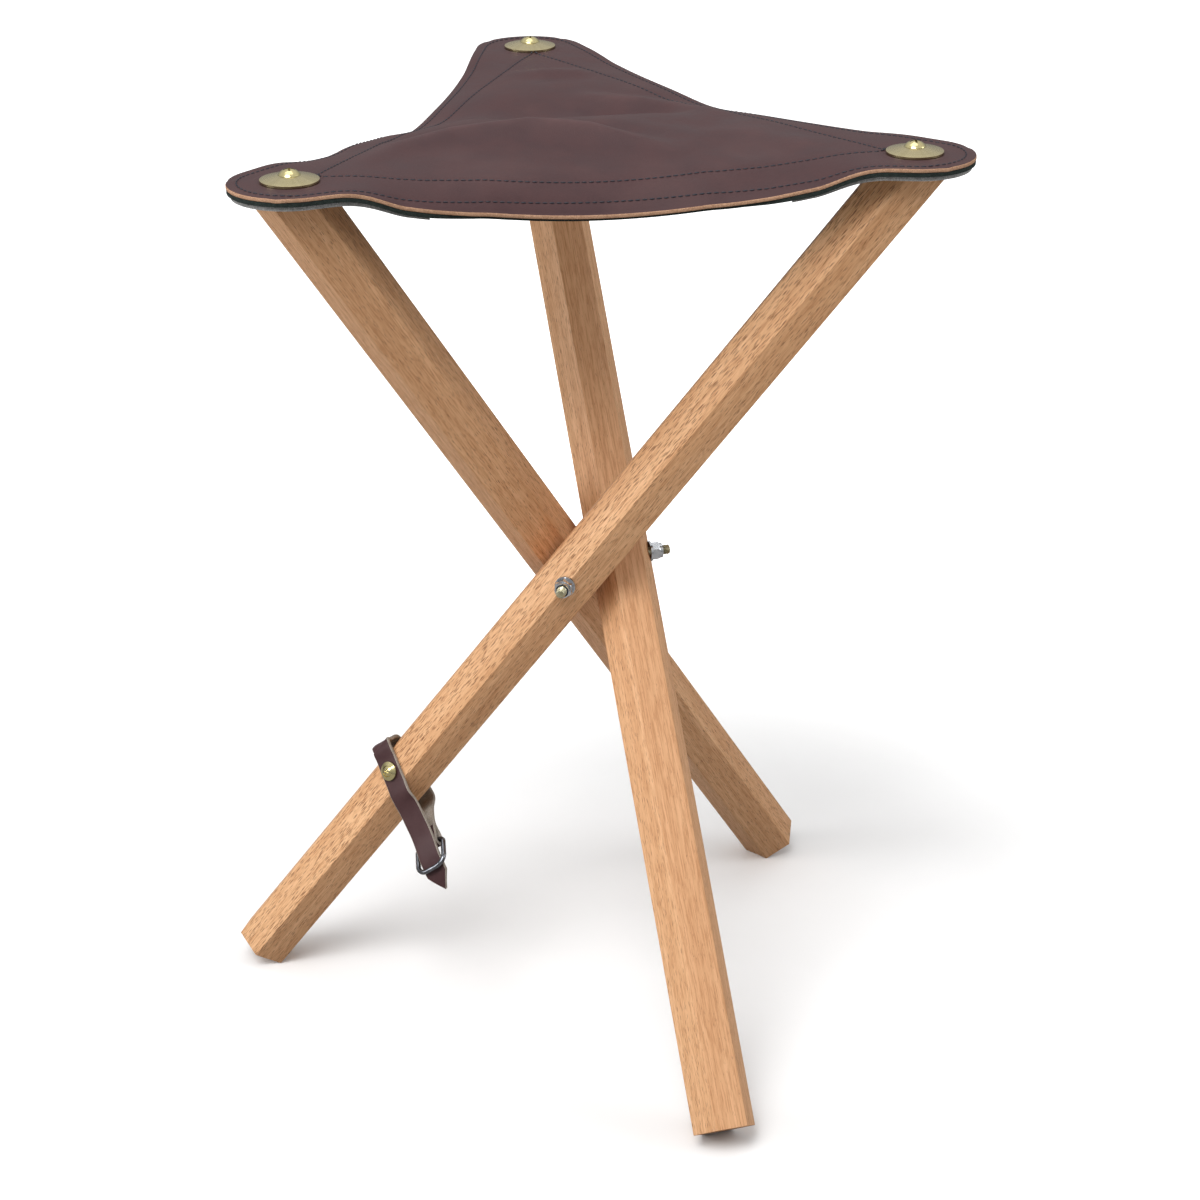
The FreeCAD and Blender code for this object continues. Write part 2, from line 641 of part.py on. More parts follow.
def leg_section(corner):
    """A corner of the leg where the strap's plane cuts it: out towards the front, and up."""
    radius = SIZE["leg_corner_radius"]
    height = SIZE["leg_across_flats"] / 2 / math.cos(math.radians(SIZE["strap_skew"]))
    corners = {
        "front": (radius, 0.0),
        "upper_front": (radius / 2, height),
        "upper_back": (-radius / 2, height),
        "back": (-radius, 0.0),
        "lower_back": (-radius / 2, -height),
    }
    return corners[corner]


def free_point(corner, step, face=None):
    """A point of the strap's middle line, a step out and up from a corner of the leg's section."""
    out, up = leg_section(corner)
    return (out + step[0], up + step[1], face)


def face_point(first, second, share, face, room=0.0):
    """A point of the strap's middle line on the face between two corners of the section."""
    start = Vector(*leg_section(first), 0)
    run = Vector(*leg_section(second), 0) - start
    outward = Vector(run.y, -run.x, 0).normalize()
    point = start + run * share + outward * (strap_stand() + room)
    return (point.x, point.y, face)


def strap_stand():
    """Leg to the strap's middle line, measured in the strap's slanting plane."""
    slant = math.cos(math.radians(SIZE["strap_skew"]))
    square = SIZE["layer_gap"] + SIZE["strap_thickness"] / 2
    return square / math.hypot(STRAP_FACE.x, STRAP_FACE.y * slant)


def strap_path():
    """Points of the strap's middle line, pointed end first, each with the face it lies on, if any."""
    bulge = SIZE["strap_bulge"]
    path = [free_point("front", step) for step in POINTED_TAIL]
    path += [face_point("front", "upper_front", share, "upper_front") for share in FRONT_SHARES]
    path.append(free_point("upper_front", ARCH_FRONT))
    path.append(free_point("upper_back", ARCH_BACK))
    path.append(face_point("upper_back", "back", ARCH_END_SHARE, "upper_back", bulge))
    path += [face_point("upper_back", "back", share, "upper_back", bulge / 2) for share in BACK_SHARES]
    path.append(free_point("back", (-strap_stand() - bulge, 0.0), "back"))
    path += [face_point("back", "lower_back", share, "lower_back", bulge / 2) for share in LOWER_SHARES]
    path += [free_point("lower_back", step) for step in RING_TAIL]
    return path + strap_end_loop()


def strap_frame():
    """Origin and the three directions of the strap's plane in the right leg's frame."""
    skew = math.radians(SIZE["strap_skew"])
    out = Vector(1, 0, 0)
    up = Vector(0, -math.cos(skew), math.sin(skew))
    across = Vector(0, math.sin(skew), math.cos(skew))
    # the plane passes through the screw
    screw_up = -STRAP_SCREW_POINT.y / math.cos(skew)
    origin = Vector(0, 0, STRAP_SCREW_POINT.z - screw_up * math.sin(skew))
    return origin, out, up, across


def strap_end_loop():
    """Points of the strap's end, folded round the ring's rear bar and laid back on itself."""
    turn = math.radians(SIZE["ring_turn"])
    half = SIZE["ring_bar_distance"] / 2
    ring_out, ring_up, face = free_point("front", RING_STEP)
    bar_out = ring_out - half * math.cos(turn)
    bar_up = ring_up - half * math.sin(turn)
    radius = SIZE["ring_wire_diameter"] / 2 + SIZE["layer_gap"] + SIZE["strap_thickness"] / 2
    points = []
    for bend in RING_BENDS:
        angle = math.radians(bend)
        points.append((bar_out + radius * math.cos(angle), bar_up + radius * math.sin(angle), None))
    last_out, last_up, face = points[-1]
    points += [(last_out + step[0], last_up + step[1], None) for step in RING_SEAM]
    return points


def strap_facing(marks, path, distance, free):
    """Way the strap's smooth side looks at a distance along it; free is its way off the leg."""
    for index in range(len(marks) - 1):
        if marks[index] <= distance <= marks[index + 1]:
            share = smooth_step((distance - marks[index]) / (marks[index + 1] - marks[index]))
            before = LEG_FACES.get(path[index][2], free)
            after = LEG_FACES.get(path[index + 1][2], free)
            return before * (1 - share) + after * share
    return free


def make_strap():
    """Flat sections along the strap's middle line, joined by a ruled loft."""
    origin, out, up, across = strap_frame()
    path = strap_path()
    points = [origin + out * row[0] + up * row[1] for row in path]
    first = len(POINTED_TAIL) + len(FRONT_SHARES)
    for index, share in enumerate(DRIFT_SHARES):
        points[first + index] += Vector(0, 0, SIZE["strap_drift"] * share)
    curve = Part.BSplineCurve()
    curve.interpolate(points)
    marks = [0.0]
    for point in points[1:]:
        marks.append(curve.length(curve.FirstParameter, curve.parameter(point)))
    sections = []
    for step in range(STRAP_STEPS + 1):
        distance = marks[-1] * step / STRAP_STEPS
        place = curve.parameterAtDistance(distance)
        point = curve.value(place)
        tangent = Vector(curve.tangent(place)[0])
        facing = strap_facing(marks, path, distance, across.cross(tangent))
        sideways = tangent.cross(facing).normalize()
        facing = sideways.cross(tangent).normalize()
        width = SIZE["strap_tip_width"] + SIZE["strap_width"] * distance / SIZE["strap_point_length"]
        half_width = sideways * (min(width, SIZE["strap_width"]) / 2)
        half_depth = facing * (SIZE["strap_thickness"] / 2)
        corners = [
            point - half_width - half_depth,
            point + half_width - half_depth,
            point + half_width + half_depth,
            point - half_width + half_depth,
        ]
        sections.append(Part.makePolygon(corners + corners[:1]))
    strap = Part.makeLoft(sections, True, True)
    hole_radius = SIZE["strap_shank_diameter"] / 2 + SIZE["layer_gap"]
    hole_start = STRAP_SCREW_POINT - STRAP_FACE * SIZE["strap_thickness"]
    hole = Part.makeCylinder(hole_radius, 4 * SIZE["strap_thickness"], hole_start, STRAP_FACE)
    strap = strap.cut(hole)
    strap.Placement = leg_placement("right")
    add_shape("strap", strap)


def make_strap_ring():
    """A wire bent into a rounded rectangle that the strap's pointed end passes through."""
    origin, out, up, across = strap_frame()
    turn = math.radians(SIZE["ring_turn"])
    along = out * math.cos(turn) + up * math.sin(turn)
    ring_out, ring_up, face = free_point("front", RING_STEP)
    centre = origin + out * ring_out + up * ring_up
    wire_radius = SIZE["ring_wire_diameter"] / 2
    half_length = SIZE["ring_bar_distance"] / 2
    half_width = SIZE["strap_width"] / 2 + SIZE["strap_thickness"] / 2 + wire_radius
    bends = []
    for lengthways, sideways in ((1, 1), (-1, 1), (-1, -1), (1, -1)):
        corner = SIZE["ring_front_radius"] if lengthways > 0 else SIZE["ring_rear_radius"]
        inset = corner * (1 - math.cos(math.radians(45)))
        start = (lengthways * half_length, sideways * (half_width - corner))
        middle = (lengthways * (half_length - inset), sideways * (half_width - inset))
        end = (lengthways * (half_length - corner), sideways * half_width)
        if lengthways * sideways < 0:
            start, end = end, start
        bends.append([centre + along * a + across * b for a, b in (start, middle, end)])
    edges = []
    for index, (start, middle, end) in enumerate(bends):
        edges.append(Part.Arc(start, middle, end).toShape())
        edges.append(Part.LineSegment(end, bends[(index + 1) % 4][0]).toShape())
    spine = Part.Wire(edges)
    profile = Part.Wire(Part.Circle(bends[0][0], across, wire_radius).toShape())
    ring = spine.makePipeShell([profile], True, False)
    ring.Placement = leg_placement("right")
    add_shape("strap_ring", ring)


def make_strap_fixing():
    """The cup washer on the strap, and the screw that holds both to the leg."""
    lift = SIZE["strap_lift"]
    cup = turned_body("strap_cup_washer", [
        ("strap_shank_diameter / 2 + layer_gap", "part_gap"),
        ("cup_diameter / 2", "0"),
        ("cup_diameter / 2", "corner_washer_thickness"),
        ("strap_head_diameter / 2 + part_gap", "cup_rise"),
        ("strap_head_diameter / 2 + part_gap", "cup_rise - strap_head_height / 2"),
        ("strap_shank_diameter / 2 + layer_gap", "cup_rise - strap_head_height"),
    ])
    finish_node(cup, "strap_cup_washer", strap_screw_placement(lift))

    head = dome("strap_screw_head", "strap_head_diameter / 2", "strap_head_height")
    # the shank runs a little way into the head, so that the two fuse
    shank_length = "strap_screw_reach + strap_head_height / 4"
    shank = turned_body("strap_screw_shank", [
        ("0", "0"),
        ("strap_shank_diameter / 2", "strap_shank_diameter / 2"),
        ("strap_shank_diameter / 2", shank_length),
        ("0", shank_length),
    ])
    shank.Placement = Placement(Vector(0, 0, -SIZE["strap_screw_reach"]), Rotation())
    blank = doc.addObject("Part::MultiFuse", "strap_screw_blank")
    blank.Shapes = [head, shank]
    top = "strap_head_height"
    depth = "strap_head_height / 2"
    bars = cross_recess("strap_screw", top, "strap_recess_length", "strap_recess_width", depth)
    place = strap_screw_placement(lift + SIZE["strap_head_seat"])
    finish_node(cut("strap_screw", blank, bars), "strap_screw", place)


def build():
    make_bolt()
    for side in SIDES:
        make_leg(side)
        make_bolt_washer(side)
        make_nut(side)
        make_insert(side)
        make_corner_washer(side)
        make_corner_screw(side)
    make_seat()
    make_strap()
    make_strap_ring()
    make_strap_fixing()
    doc.recompute()


def write_parts():
    """Check every piece and write it to its own file."""
    os.makedirs("parts", exist_ok=True)
    for thing in doc.Objects:
        if "Invalid" in thing.State or "Error" in thing.State:
            raise RuntimeError(thing.Name + " failed: " + str(thing.State))
    for thing in nodes:
        shape = thing.Shape
        if shape.isNull() or not shape.isValid() or not shape.Solids:
            raise RuntimeError(thing.Label + " has no valid solid")
        shape.exportStep(f"parts/{thing.Label}.step")
        box = shape.BoundBox
        low = f"({box.XMin:.1f}, {box.YMin:.1f}, {box.ZMin:.1f})"
        high = f"({box.XMax:.1f}, {box.YMax:.1f}, {box.ZMax:.1f})"
        print(f"{thing.Label}: {len(shape.Solids)} solid, {shape.Volume:.0f} mm3, {low} to {high}")
    print(len(nodes), "nodes")


build()
write_parts()
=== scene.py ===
"""Looks of the folding stool: beech legs on a three-way bolt, stitched leather seat, carrying strap."""

import json
import math

import bmesh
import bpy
import numpy as np
from mathutils import Matrix, Vector


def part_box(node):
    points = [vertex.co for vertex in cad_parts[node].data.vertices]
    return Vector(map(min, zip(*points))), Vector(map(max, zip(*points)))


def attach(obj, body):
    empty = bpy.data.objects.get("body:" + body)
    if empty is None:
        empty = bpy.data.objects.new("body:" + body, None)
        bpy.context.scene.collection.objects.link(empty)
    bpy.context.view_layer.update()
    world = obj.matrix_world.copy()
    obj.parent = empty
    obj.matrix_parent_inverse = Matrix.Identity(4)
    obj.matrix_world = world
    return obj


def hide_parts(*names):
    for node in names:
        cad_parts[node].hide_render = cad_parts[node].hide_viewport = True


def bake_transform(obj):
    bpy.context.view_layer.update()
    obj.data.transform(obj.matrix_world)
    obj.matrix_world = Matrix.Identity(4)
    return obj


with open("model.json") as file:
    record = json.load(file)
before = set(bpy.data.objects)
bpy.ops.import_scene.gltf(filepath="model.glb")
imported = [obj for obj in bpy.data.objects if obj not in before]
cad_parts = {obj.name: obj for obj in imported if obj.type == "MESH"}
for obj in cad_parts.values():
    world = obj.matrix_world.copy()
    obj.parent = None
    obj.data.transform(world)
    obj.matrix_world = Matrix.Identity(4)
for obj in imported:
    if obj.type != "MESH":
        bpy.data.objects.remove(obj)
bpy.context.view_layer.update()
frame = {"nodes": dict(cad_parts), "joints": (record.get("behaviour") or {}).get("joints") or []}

MM = 0.001
UP = Vector((0, 0, 1))
# Points nearer than this are one
WELD_DISTANCE = 0.001 * MM

# Corners of the seat run anticlockwise seen from above; each side is named by the corner it leaves
CORNERS = ("left", "right", "rear")


def box_middle(node):
    """Middle of a CAD piece's box."""
    low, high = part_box(node)
    return (low + high) / 2


# Places worked out from the frame
JOINT = {joint["name"]: joint for joint in frame["joints"]}
HINGE_POINT = {corner: Vector(JOINT[corner + "_leg_fold"]["pos_m"]) for corner in CORNERS}
HINGE_LINE = {corner: Vector(JOINT[corner + "_leg_fold"]["axis"]).normalized() for corner in CORNERS}
LEG_LEAN = math.radians(max(JOINT["right_leg_fold"]["range_deg"]))
SCREW_PLACE = {corner: np.array(box_middle(corner + "_corner_screw"))[:2] for corner in CORNERS}
SEAT_MIDDLE = sum(SCREW_PLACE.values()) / 3
CORNER_REACH = np.linalg.norm(SCREW_PLACE["left"] - SEAT_MIDDLE)
CORNER_WAY = {corner: (SCREW_PLACE[corner] - SEAT_MIDDLE) / CORNER_REACH for corner in CORNERS}
WASHER_LOW, WASHER_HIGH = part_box("left_corner_washer")
WASHER_RADIUS = (WASHER_HIGH.x - WASHER_LOW.x) / 2

# Seat sizes
LAYER_GAP = 0.3 * MM
LEATHER_THICKNESS = 1.9 * MM
BAND_THICKNESS = 1.6 * MM
PATCH_THICKNESS = 1.8 * MM
LEATHER_TOP = WASHER_LOW.z - LAYER_GAP
BAND_TOP = LEATHER_TOP - LEATHER_THICKNESS - LAYER_GAP
PATCH_TOP = BAND_TOP - BAND_THICKNESS - LAYER_GAP
# Each under layer is this much thicker, up into the gap above it
LAYER_SWELL = 0.2 * MM
# Round lobe about each screw
LOBE_RADIUS = 27 * MM
# From a side's screw line: out to the leather's edge at mid side, and in to the band's inner edge
SIDE_REACH = 8 * MM
BAND_INSET = 14 * MM
# The under layers end a little inside the leather's edge, the bands least at the lobes
BAND_TRIM = 0.2 * MM
BAND_SETBACK = 1.2 * MM
PATCH_SETBACK = 1.8 * MM
PATCH_LENGTH = 44 * MM
# The patch's inner line leaves its outer line at both ends: least share of the way, and rate
PATCH_LEAST, PATCH_SPREAD = 0.02, 12
SIDE_LENGTH = np.linalg.norm(SCREW_PLACE["right"] - SCREW_PLACE["left"])
SIDE_RADIUS = (SIDE_REACH**2 + (SIDE_LENGTH / 2) ** 2 - LOBE_RADIUS**2) / (2 * (LOBE_RADIUS - SIDE_REACH))
# Each side droops between the flat places under its washers
SIDE_DROOP = {"left": 21 * MM, "right": 5 * MM, "rear": 11 * MM}
FLAT_LENGTH = WASHER_RADIUS + 1.25 * MM
# The droop fades over this distance inside the edge, and begins over this share of the side
DROOP_DECAY = 18 * MM
DROOP_START = 0.14
# Ridge behind the front edge and hollow behind the ridge, measured in from the front screw line
RIDGE_RISE, RIDGE_INSET, RIDGE_WIDTH, RIDGE_SPAN = 4 * MM, 64 * MM, 21.3 * MM, 68.2 * MM
HOLLOW_DEPTH, HOLLOW_INSET = 7 * MM, 122 * MM

# Stitches
STITCH_PITCH = 3.1 * MM
STITCH_LENGTH = 2.4 * MM
STITCH_WIDTH = 0.8 * MM
# Middle of the stitches above the leather and below the under layers
STITCH_RISE, STITCH_DROP = 0.12 * STITCH_WIDTH, 0.05 * STITCH_WIDTH
OUTER_ROW_INSET = 4.6 * MM
INNER_ROW_INSET = 6 * MM
OUTER_ROW_CELLS, INNER_ROW_POINTS = 200, 160
# The inner rows end this far from the washers
ROW_GAP = 1.5 * MM
# Leather drawn down along the stitches: depth and half width
PULL_DEPTH, PULL_WIDTH = 0.3 * MM, 1.3 * MM
# Leather pushed up round each washer: height, distance from the rim and half width
SWELL_HEIGHT, SWELL_AWAY, SWELL_WIDTH = 0.35 * MM, 1.6 * MM, 1.0 * MM

# Soft folds of the seat in plan, in millimetres: half width, then points with the height or depth there
SEAT_CRESTS = [
    (8, [(-112, -60, 0.6), (-88, -30, 3.0), (-60, -19, 5.0), (-26, -18, 5.8), (0, -26, 5.0), (22, -39, 2.8),
         (40, -54, 0)]),
    (6, [(-22, 107, 0), (0, 104, 1.8), (14, 101, 1.8), (24, 97, 0)]),
    (7, [(4, 64, 0), (16, 59, 2.4), (38, 52, 3.0), (54, 44, 2.2), (64, 26, 2.0), (72, 4, 0)]),
    (10, [(52, -18, 0), (72, -32, 1.6), (92, -48, 1.2), (108, -60, 0)]),
    (10, [(-64, -2, 0), (-46, 26, 1.2), (-30, 54, 0)]),
    (12, [(-114, -20, 0), (-103, -4, 2.4), (-92, 12, 2.0), (-82, 26, 0)]),
    (16, [(-80, -79, 0), (-50, -79, 2.2), (40, -79, 2.2), (70, -79, 0)]),
]
SEAT_HOLLOWS = [
    (10, [(-92, -12, 0), (-60, -4, 3.2), (-24, -3, 4.6), (8, -12, 4.6), (30, -24, 2.8), (46, -38, 0)]),
    (7, [(-18, 95, 0), (2, 92, 1.0), (22, 86, 0)]),
    (8, [(6, 50, 0), (24, 42, 2.0), (44, 32, 2.0), (54, 18, 0)]),
    (14, [(20, 0, 0), (36, -8, 2.2), (54, -12, 2.2), (70, -16, 0)]),
    (10, [(44, -42, 0), (66, -54, 1.4), (90, -66, 0)]),
    (13, [(-36, 50, 0), (-14, 38, 1.6), (6, 28, 0)]),
]
# Height of a crest at which its painted highlight is at full strength
FULL_HIGHLIGHT_HEIGHT = 4 * MM


def smooth_step(value):
    """0 below 0, 1 above 1, and a soft rise between."""
    value = np.clip(value, 0, 1)
    return value * value * (3 - 2 * value)


def next_corner(corner):
    """The corner that a side ends at."""
    return CORNERS[(CORNERS.index(corner) + 1) % 3]


def side_ways(side):
    """Directions along a side's screw line and inside it."""
    along_way = (SCREW_PLACE[next_corner(side)] - SCREW_PLACE[side]) / SIDE_LENGTH
    return along_way, np.array((-along_way[1], along_way[0]))


def side_place(side, points):
    """Distance along a side's screw line, and distance inside it."""
    start = SCREW_PLACE[side]
    along_way, inside_way = side_ways(side)
    return (points - start) @ along_way, (points - start) @ inside_way


def fold_height(points, width, line):
    """Height of one soft fold along a bent line."""
    height = np.zeros(len(points))
    rows = np.array(line) * MM
    for first, second in zip(rows[:-1], rows[1:]):
        run = second[:2] - first[:2]
        share = np.clip((points - first[:2]) @ run / (run @ run), 0, 1)
        off = np.linalg.norm(points - first[:2] - share[:, None] * run, axis=1)
        here = first[2] + (second[2] - first[2]) * share
        height = np.maximum(height, here * np.exp(-((off / (width * MM)) ** 2)))
    return height


def clear_of_corners(points):
    """0 on the lobes round the screws, rising to 1 where the leather hangs free."""
    away = np.min([np.linalg.norm(points - SCREW_PLACE[corner], axis=1) for corner in CORNERS], axis=0)
    return smooth_step((away - LOBE_RADIUS) / LOBE_RADIUS)


def seat_form(points):
    """Height of the seat above its level corners: drooping sides, ridge, hollow and folds."""
    height = np.zeros(len(points))
    for side, droop in SIDE_DROOP.items():
        along, inside = side_place(side, points)
        share = np.clip((along - FLAT_LENGTH) / (SIDE_LENGTH - 2 * FLAT_LENGTH), 0, 1)
        ends = smooth_step(np.minimum(share, 1 - share) / DROOP_START)
        outside = SIDE_REACH + (along - SIDE_LENGTH / 2) ** 2 / (2 * SIDE_RADIUS)
        height -= droop * np.sin(np.pi * share) * ends * np.exp(-(inside + outside) / DROOP_DECAY)
    along, inside = side_place("left", points)
    sideways = np.exp(-(((along - SIDE_LENGTH / 2) / RIDGE_SPAN) ** 2))
    height += RIDGE_RISE * sideways * np.exp(-(((inside - RIDGE_INSET) / RIDGE_WIDTH) ** 2))
    height -= HOLLOW_DEPTH * sideways * np.exp(-(((inside - HOLLOW_INSET) / RIDGE_WIDTH) ** 2))
    free = clear_of_corners(points)
    for width, line in SEAT_CRESTS:
        height += free * fold_height(points, width, line)
    for width, line in SEAT_HOLLOWS:
        height -= free * fold_height(points, width, line)
    return height


def fold_highlight(points):
    """How strongly a painted highlight makes the leather paler along the tops of its folds."""
    shine = np.zeros(len(points))
    # the last crest, along the front, is too broad to get a painted highlight
    for width, line in SEAT_CRESTS[:-1]:
        shine = np.maximum(shine, fold_height(points, width / 2, line) / FULL_HIGHLIGHT_HEIGHT)
    return shine * clear_of_corners(points)


def half_outline(corner, side, inset, count):
    """Edge of the seat from the middle of a side to the tip of a corner, moved inside by an inset."""
    screw = SCREW_PLACE[corner]
    middle = (SCREW_PLACE[side] + SCREW_PLACE[next_corner(side)]) / 2
    outward = (middle - SEAT_MIDDLE) / np.linalg.norm(middle - SEAT_MIDDLE)
    arc_middle = middle + outward * (SIDE_RADIUS + SIDE_REACH)
    touch_way = (arc_middle - screw) / np.linalg.norm(arc_middle - screw)
    arc_radius, lobe_radius = SIDE_RADIUS + inset, LOBE_RADIUS - inset
    turn = math.acos(np.clip(outward @ touch_way, -1, 1))
    lobe_turn = math.acos(np.clip(touch_way @ CORNER_WAY[corner], -1, 1))
    arc_length, lobe_length = arc_radius * turn, lobe_radius * lobe_turn
    toward = (screw - middle) / np.linalg.norm(screw - middle)
    lobe_side = touch_way - CORNER_WAY[corner] * (touch_way @ CORNER_WAY[corner])
    lobe_side = lobe_side / np.linalg.norm(lobe_side)
    points = []
    for distance in np.linspace(0, arc_length + lobe_length, count + 1):
        if distance < arc_length:
            angle = distance / arc_radius
            points.append(arc_middle + arc_radius * (toward * math.sin(angle) - outward * math.cos(angle)))
        else:
            angle = lobe_turn - (distance - arc_length) / lobe_radius
            lobe_way = CORNER_WAY[corner] * math.cos(angle) + lobe_side * math.sin(angle)
            points.append(screw + lobe_radius * lobe_way)
    return np.array(points)


def side_before(corner):
    """The side that ends at a corner."""
    return CORNERS[(CORNERS.index(corner) + 2) % 3]


def corner_outline(corner, inset, count):
    """Edge of the seat round a corner, from the middle of one side to the middle of the next."""
    first = half_outline(corner, side_before(corner), inset, count)
    second = half_outline(corner, corner, inset, count)
    return np.concatenate([first, second[-2::-1]])


# Small helpers for meshes


# Faces that turn by more degrees than this meet at a sharp edge
LEG_SHARP, METAL_SHARP, OTHER_SHARP = 32, 35, 50


def link_object(name, data):
    """A new object of the scene."""
    made = bpy.data.objects.new(name, data)
    bpy.context.scene.collection.objects.link(made)
    return made


def add_mesh(mesh, materials, sharp_angle):
    """An object of a mesh, smooth shaded but sharp where its faces turn by more than an angle in degrees."""
    for material in materials:
        mesh.materials.append(material)
    mesh.polygons.foreach_set("use_smooth", [True] * len(mesh.polygons))
    mesh.set_sharp_from_angle(angle=math.radians(sharp_angle))
    return link_object(mesh.name, mesh)


def add_object(name, points, faces, materials, face_materials=None):
    """An object of points and faces, with the material of each face."""
    mesh = bpy.data.meshes.new(name)
    mesh.from_pydata([tuple(p) for p in points], [], faces)
    made = add_mesh(mesh, materials, OTHER_SHARP)
    if face_materials is not None:
        mesh.polygons.foreach_set("material_index", face_materials)
    return made


def tube_faces(rows, count):
    """Faces round rows of points, from one end to the other, and over both ends."""
    faces = []
    for row in range(rows):
        first, second = row * count, (row + 1) * count
        for column in range(count):
            after = (column + 1) % count
            faces.append((first + column, first + after, second + after, second + column))
    faces.append(tuple(reversed(range(count))))
    faces.append(tuple(rows * count + column for column in range(count)))
    return faces


def mesh_points(mesh):
    """Points of a mesh as rows."""
    points = np.zeros(len(mesh.vertices) * 3)
    mesh.vertices.foreach_get("co", points)
    return points.reshape(-1, 3)


def welded_copy(node):
    """A CAD piece's faces with their points merged, as a bmesh."""
    shape = bmesh.new()
    source = frame["nodes"][node].data
    made = [shape.verts.new(p) for p in mesh_points(source)]
    for polygon in source.polygons:
        shape.faces.new([made[i] for i in polygon.vertices])
    bmesh.ops.remove_doubles(shape, verts=shape.verts, dist=WELD_DISTANCE)
    bmesh.ops.dissolve_degenerate(shape, dist=WELD_DISTANCE, edges=shape.edges)
    return shape


def shape_mesh(name, shape):
    """A mesh of a bmesh, which is freed."""
    mesh = bpy.data.meshes.new(name)
    shape.to_mesh(mesh)
    shape.free()
    return mesh


def set_values(mesh, name, domain, values):
    """Stores one value for each point or face of a mesh."""
    attribute = mesh.attributes.new(name, "FLOAT", domain)
    attribute.data.foreach_set("value", values)


def set_places(mesh, name, values):
    """Stores one vector for each point of a mesh."""
    attribute = mesh.attributes.new(name, "FLOAT_VECTOR", "POINT")
    attribute.data.foreach_set("vector", np.asarray(values, np.float32).ravel())


# Small helpers for materials


def colour(red, green, blue):
    """A colour written from 0 to 255 as it looks, for a shader."""
    shares = [value / 255 for value in (red, green, blue)]
    linear = [v / 12.92 if v <= 0.04045 else ((v + 0.055) / 1.055) ** 2.4 for v in shares]
    return (*linear, 1.0)


def connect(tree, socket, value):
    """Feeds a socket from another socket or sets its value."""
    if isinstance(value, bpy.types.NodeSocket):
        tree.links.new(value, socket)
    else:
        socket.default_value = value


def add_node(tree, kind, settings=None, **inputs):
    """A node with its settings and its inputs, written by name with underscores for spaces."""
    made = tree.nodes.new(kind)
    for name, value in (settings or {}).items():
        setattr(made, name, value)
    for name, value in inputs.items():
        connect(tree, made.inputs[name.replace("_", " ")], value)
    return made


def maths(tree, operation, first, second=0.0, third=0.0):
    """One sum, with up to three values."""
    made = tree.nodes.new("ShaderNodeMath")
    made.operation = operation
    for socket, value in zip(made.inputs, (first, second, third)):
        connect(tree, socket, value)
    return made.outputs[0]


def stretch(tree, value, low, high, to_low=0.0, to_high=1.0):
    """Turns the range low to high into another range, softly."""
    made = add_node(tree, "ShaderNodeMapRange", {"interpolation_type": "SMOOTHSTEP"}, Value=value,
                    From_Min=low, From_Max=high, To_Min=to_low, To_Max=to_high)
    return made.outputs["Result"]


def mix_colour(tree, share, first, second):
    """Two colours mixed by a share."""
    made = tree.nodes.new("ShaderNodeMix")
    made.data_type = "RGBA"
    connect(tree, made.inputs[0], share)
    connect(tree, made.inputs[6], first)
    connect(tree, made.inputs[7], second)
    return made.outputs[2]


def tinted(tree, base, tint, mask, most):
    """A colour turned towards a tint where a mask shows, at most by a share."""
    return mix_colour(tree, maths(tree, "MULTIPLY", mask, most), base, tint)


def noise(tree, place, scale, detail=2.0, roughness=0.5):
    """Soft random values over a place."""
    made = add_node(tree, "ShaderNodeTexNoise", Vector=place, Scale=scale, Detail=detail, Roughness=roughness)
    return made.outputs["Fac"]


def vector_maths(tree, operation, first, second=(0, 0, 0)):
    """Outputs of one sum with vectors."""
    made = add_node(tree, "ShaderNodeVectorMath", {"operation": operation})
    connect(tree, made.inputs[0], first)
    connect(tree, made.inputs[1], second)
    return made.outputs


def squeezed(tree, place, sizes):
    """A place measured in cells of three sizes."""
    return vector_maths(tree, "DIVIDE", place, sizes)["Vector"]


def stored(tree, name, output):
    """A vector or, from the output Fac, a value stored on the mesh."""
    return add_node(tree, "ShaderNodeAttribute", {"attribute_name": name}).outputs[output]


def new_material(name):
    """A material with its tree and its shader."""
    made = bpy.data.materials.new(name)
    made.use_nodes = True
    tree = made.node_tree
    return made, tree, tree.nodes["Principled BSDF"]


def object_place(tree):
    """Place on the object in metres."""
    return tree.nodes.new("ShaderNodeTexCoord").outputs["Object"]


def set_surface(tree, shader, tone, height, depth):
    """A shader's colour, and normals of a height from 0 to 1 that is this deep."""
    connect(tree, shader.inputs["Base Color"], tone)
    made = add_node(tree, "ShaderNodeBump", Height=height, Distance=depth, Strength=1.0)
    connect(tree, shader.inputs["Normal"], made.outputs["Normal"])


def set_roughness(tree, shader, value, low, high):
    """Roughness between two limits, by a value that varies over the surface."""
    connect(tree, shader.inputs["Roughness"], stretch(tree, value, 0.2, 0.8, low, high))


def new_group(name, inputs, outputs):
    """A shader group with named inputs and outputs: the first input is a vector, the others are values."""
    tree = bpy.data.node_groups.new(name, "ShaderNodeTree")
    for number, socket in enumerate(inputs):
        kind = "NodeSocketVector" if number == 0 else "NodeSocketFloat"
        tree.interface.new_socket(socket, in_out="INPUT", socket_type=kind)
    for socket in outputs:
        tree.interface.new_socket(socket, in_out="OUTPUT", socket_type="NodeSocketFloat")
    return tree, tree.nodes.new("NodeGroupInput").outputs, tree.nodes.new("NodeGroupOutput").inputs


def use_group(tree, group, **inputs):
    """Outputs of one use of a shader group."""
    return add_node(tree, "ShaderNodeGroup", {"node_tree": group}, **inputs).outputs


# Shared shader groups


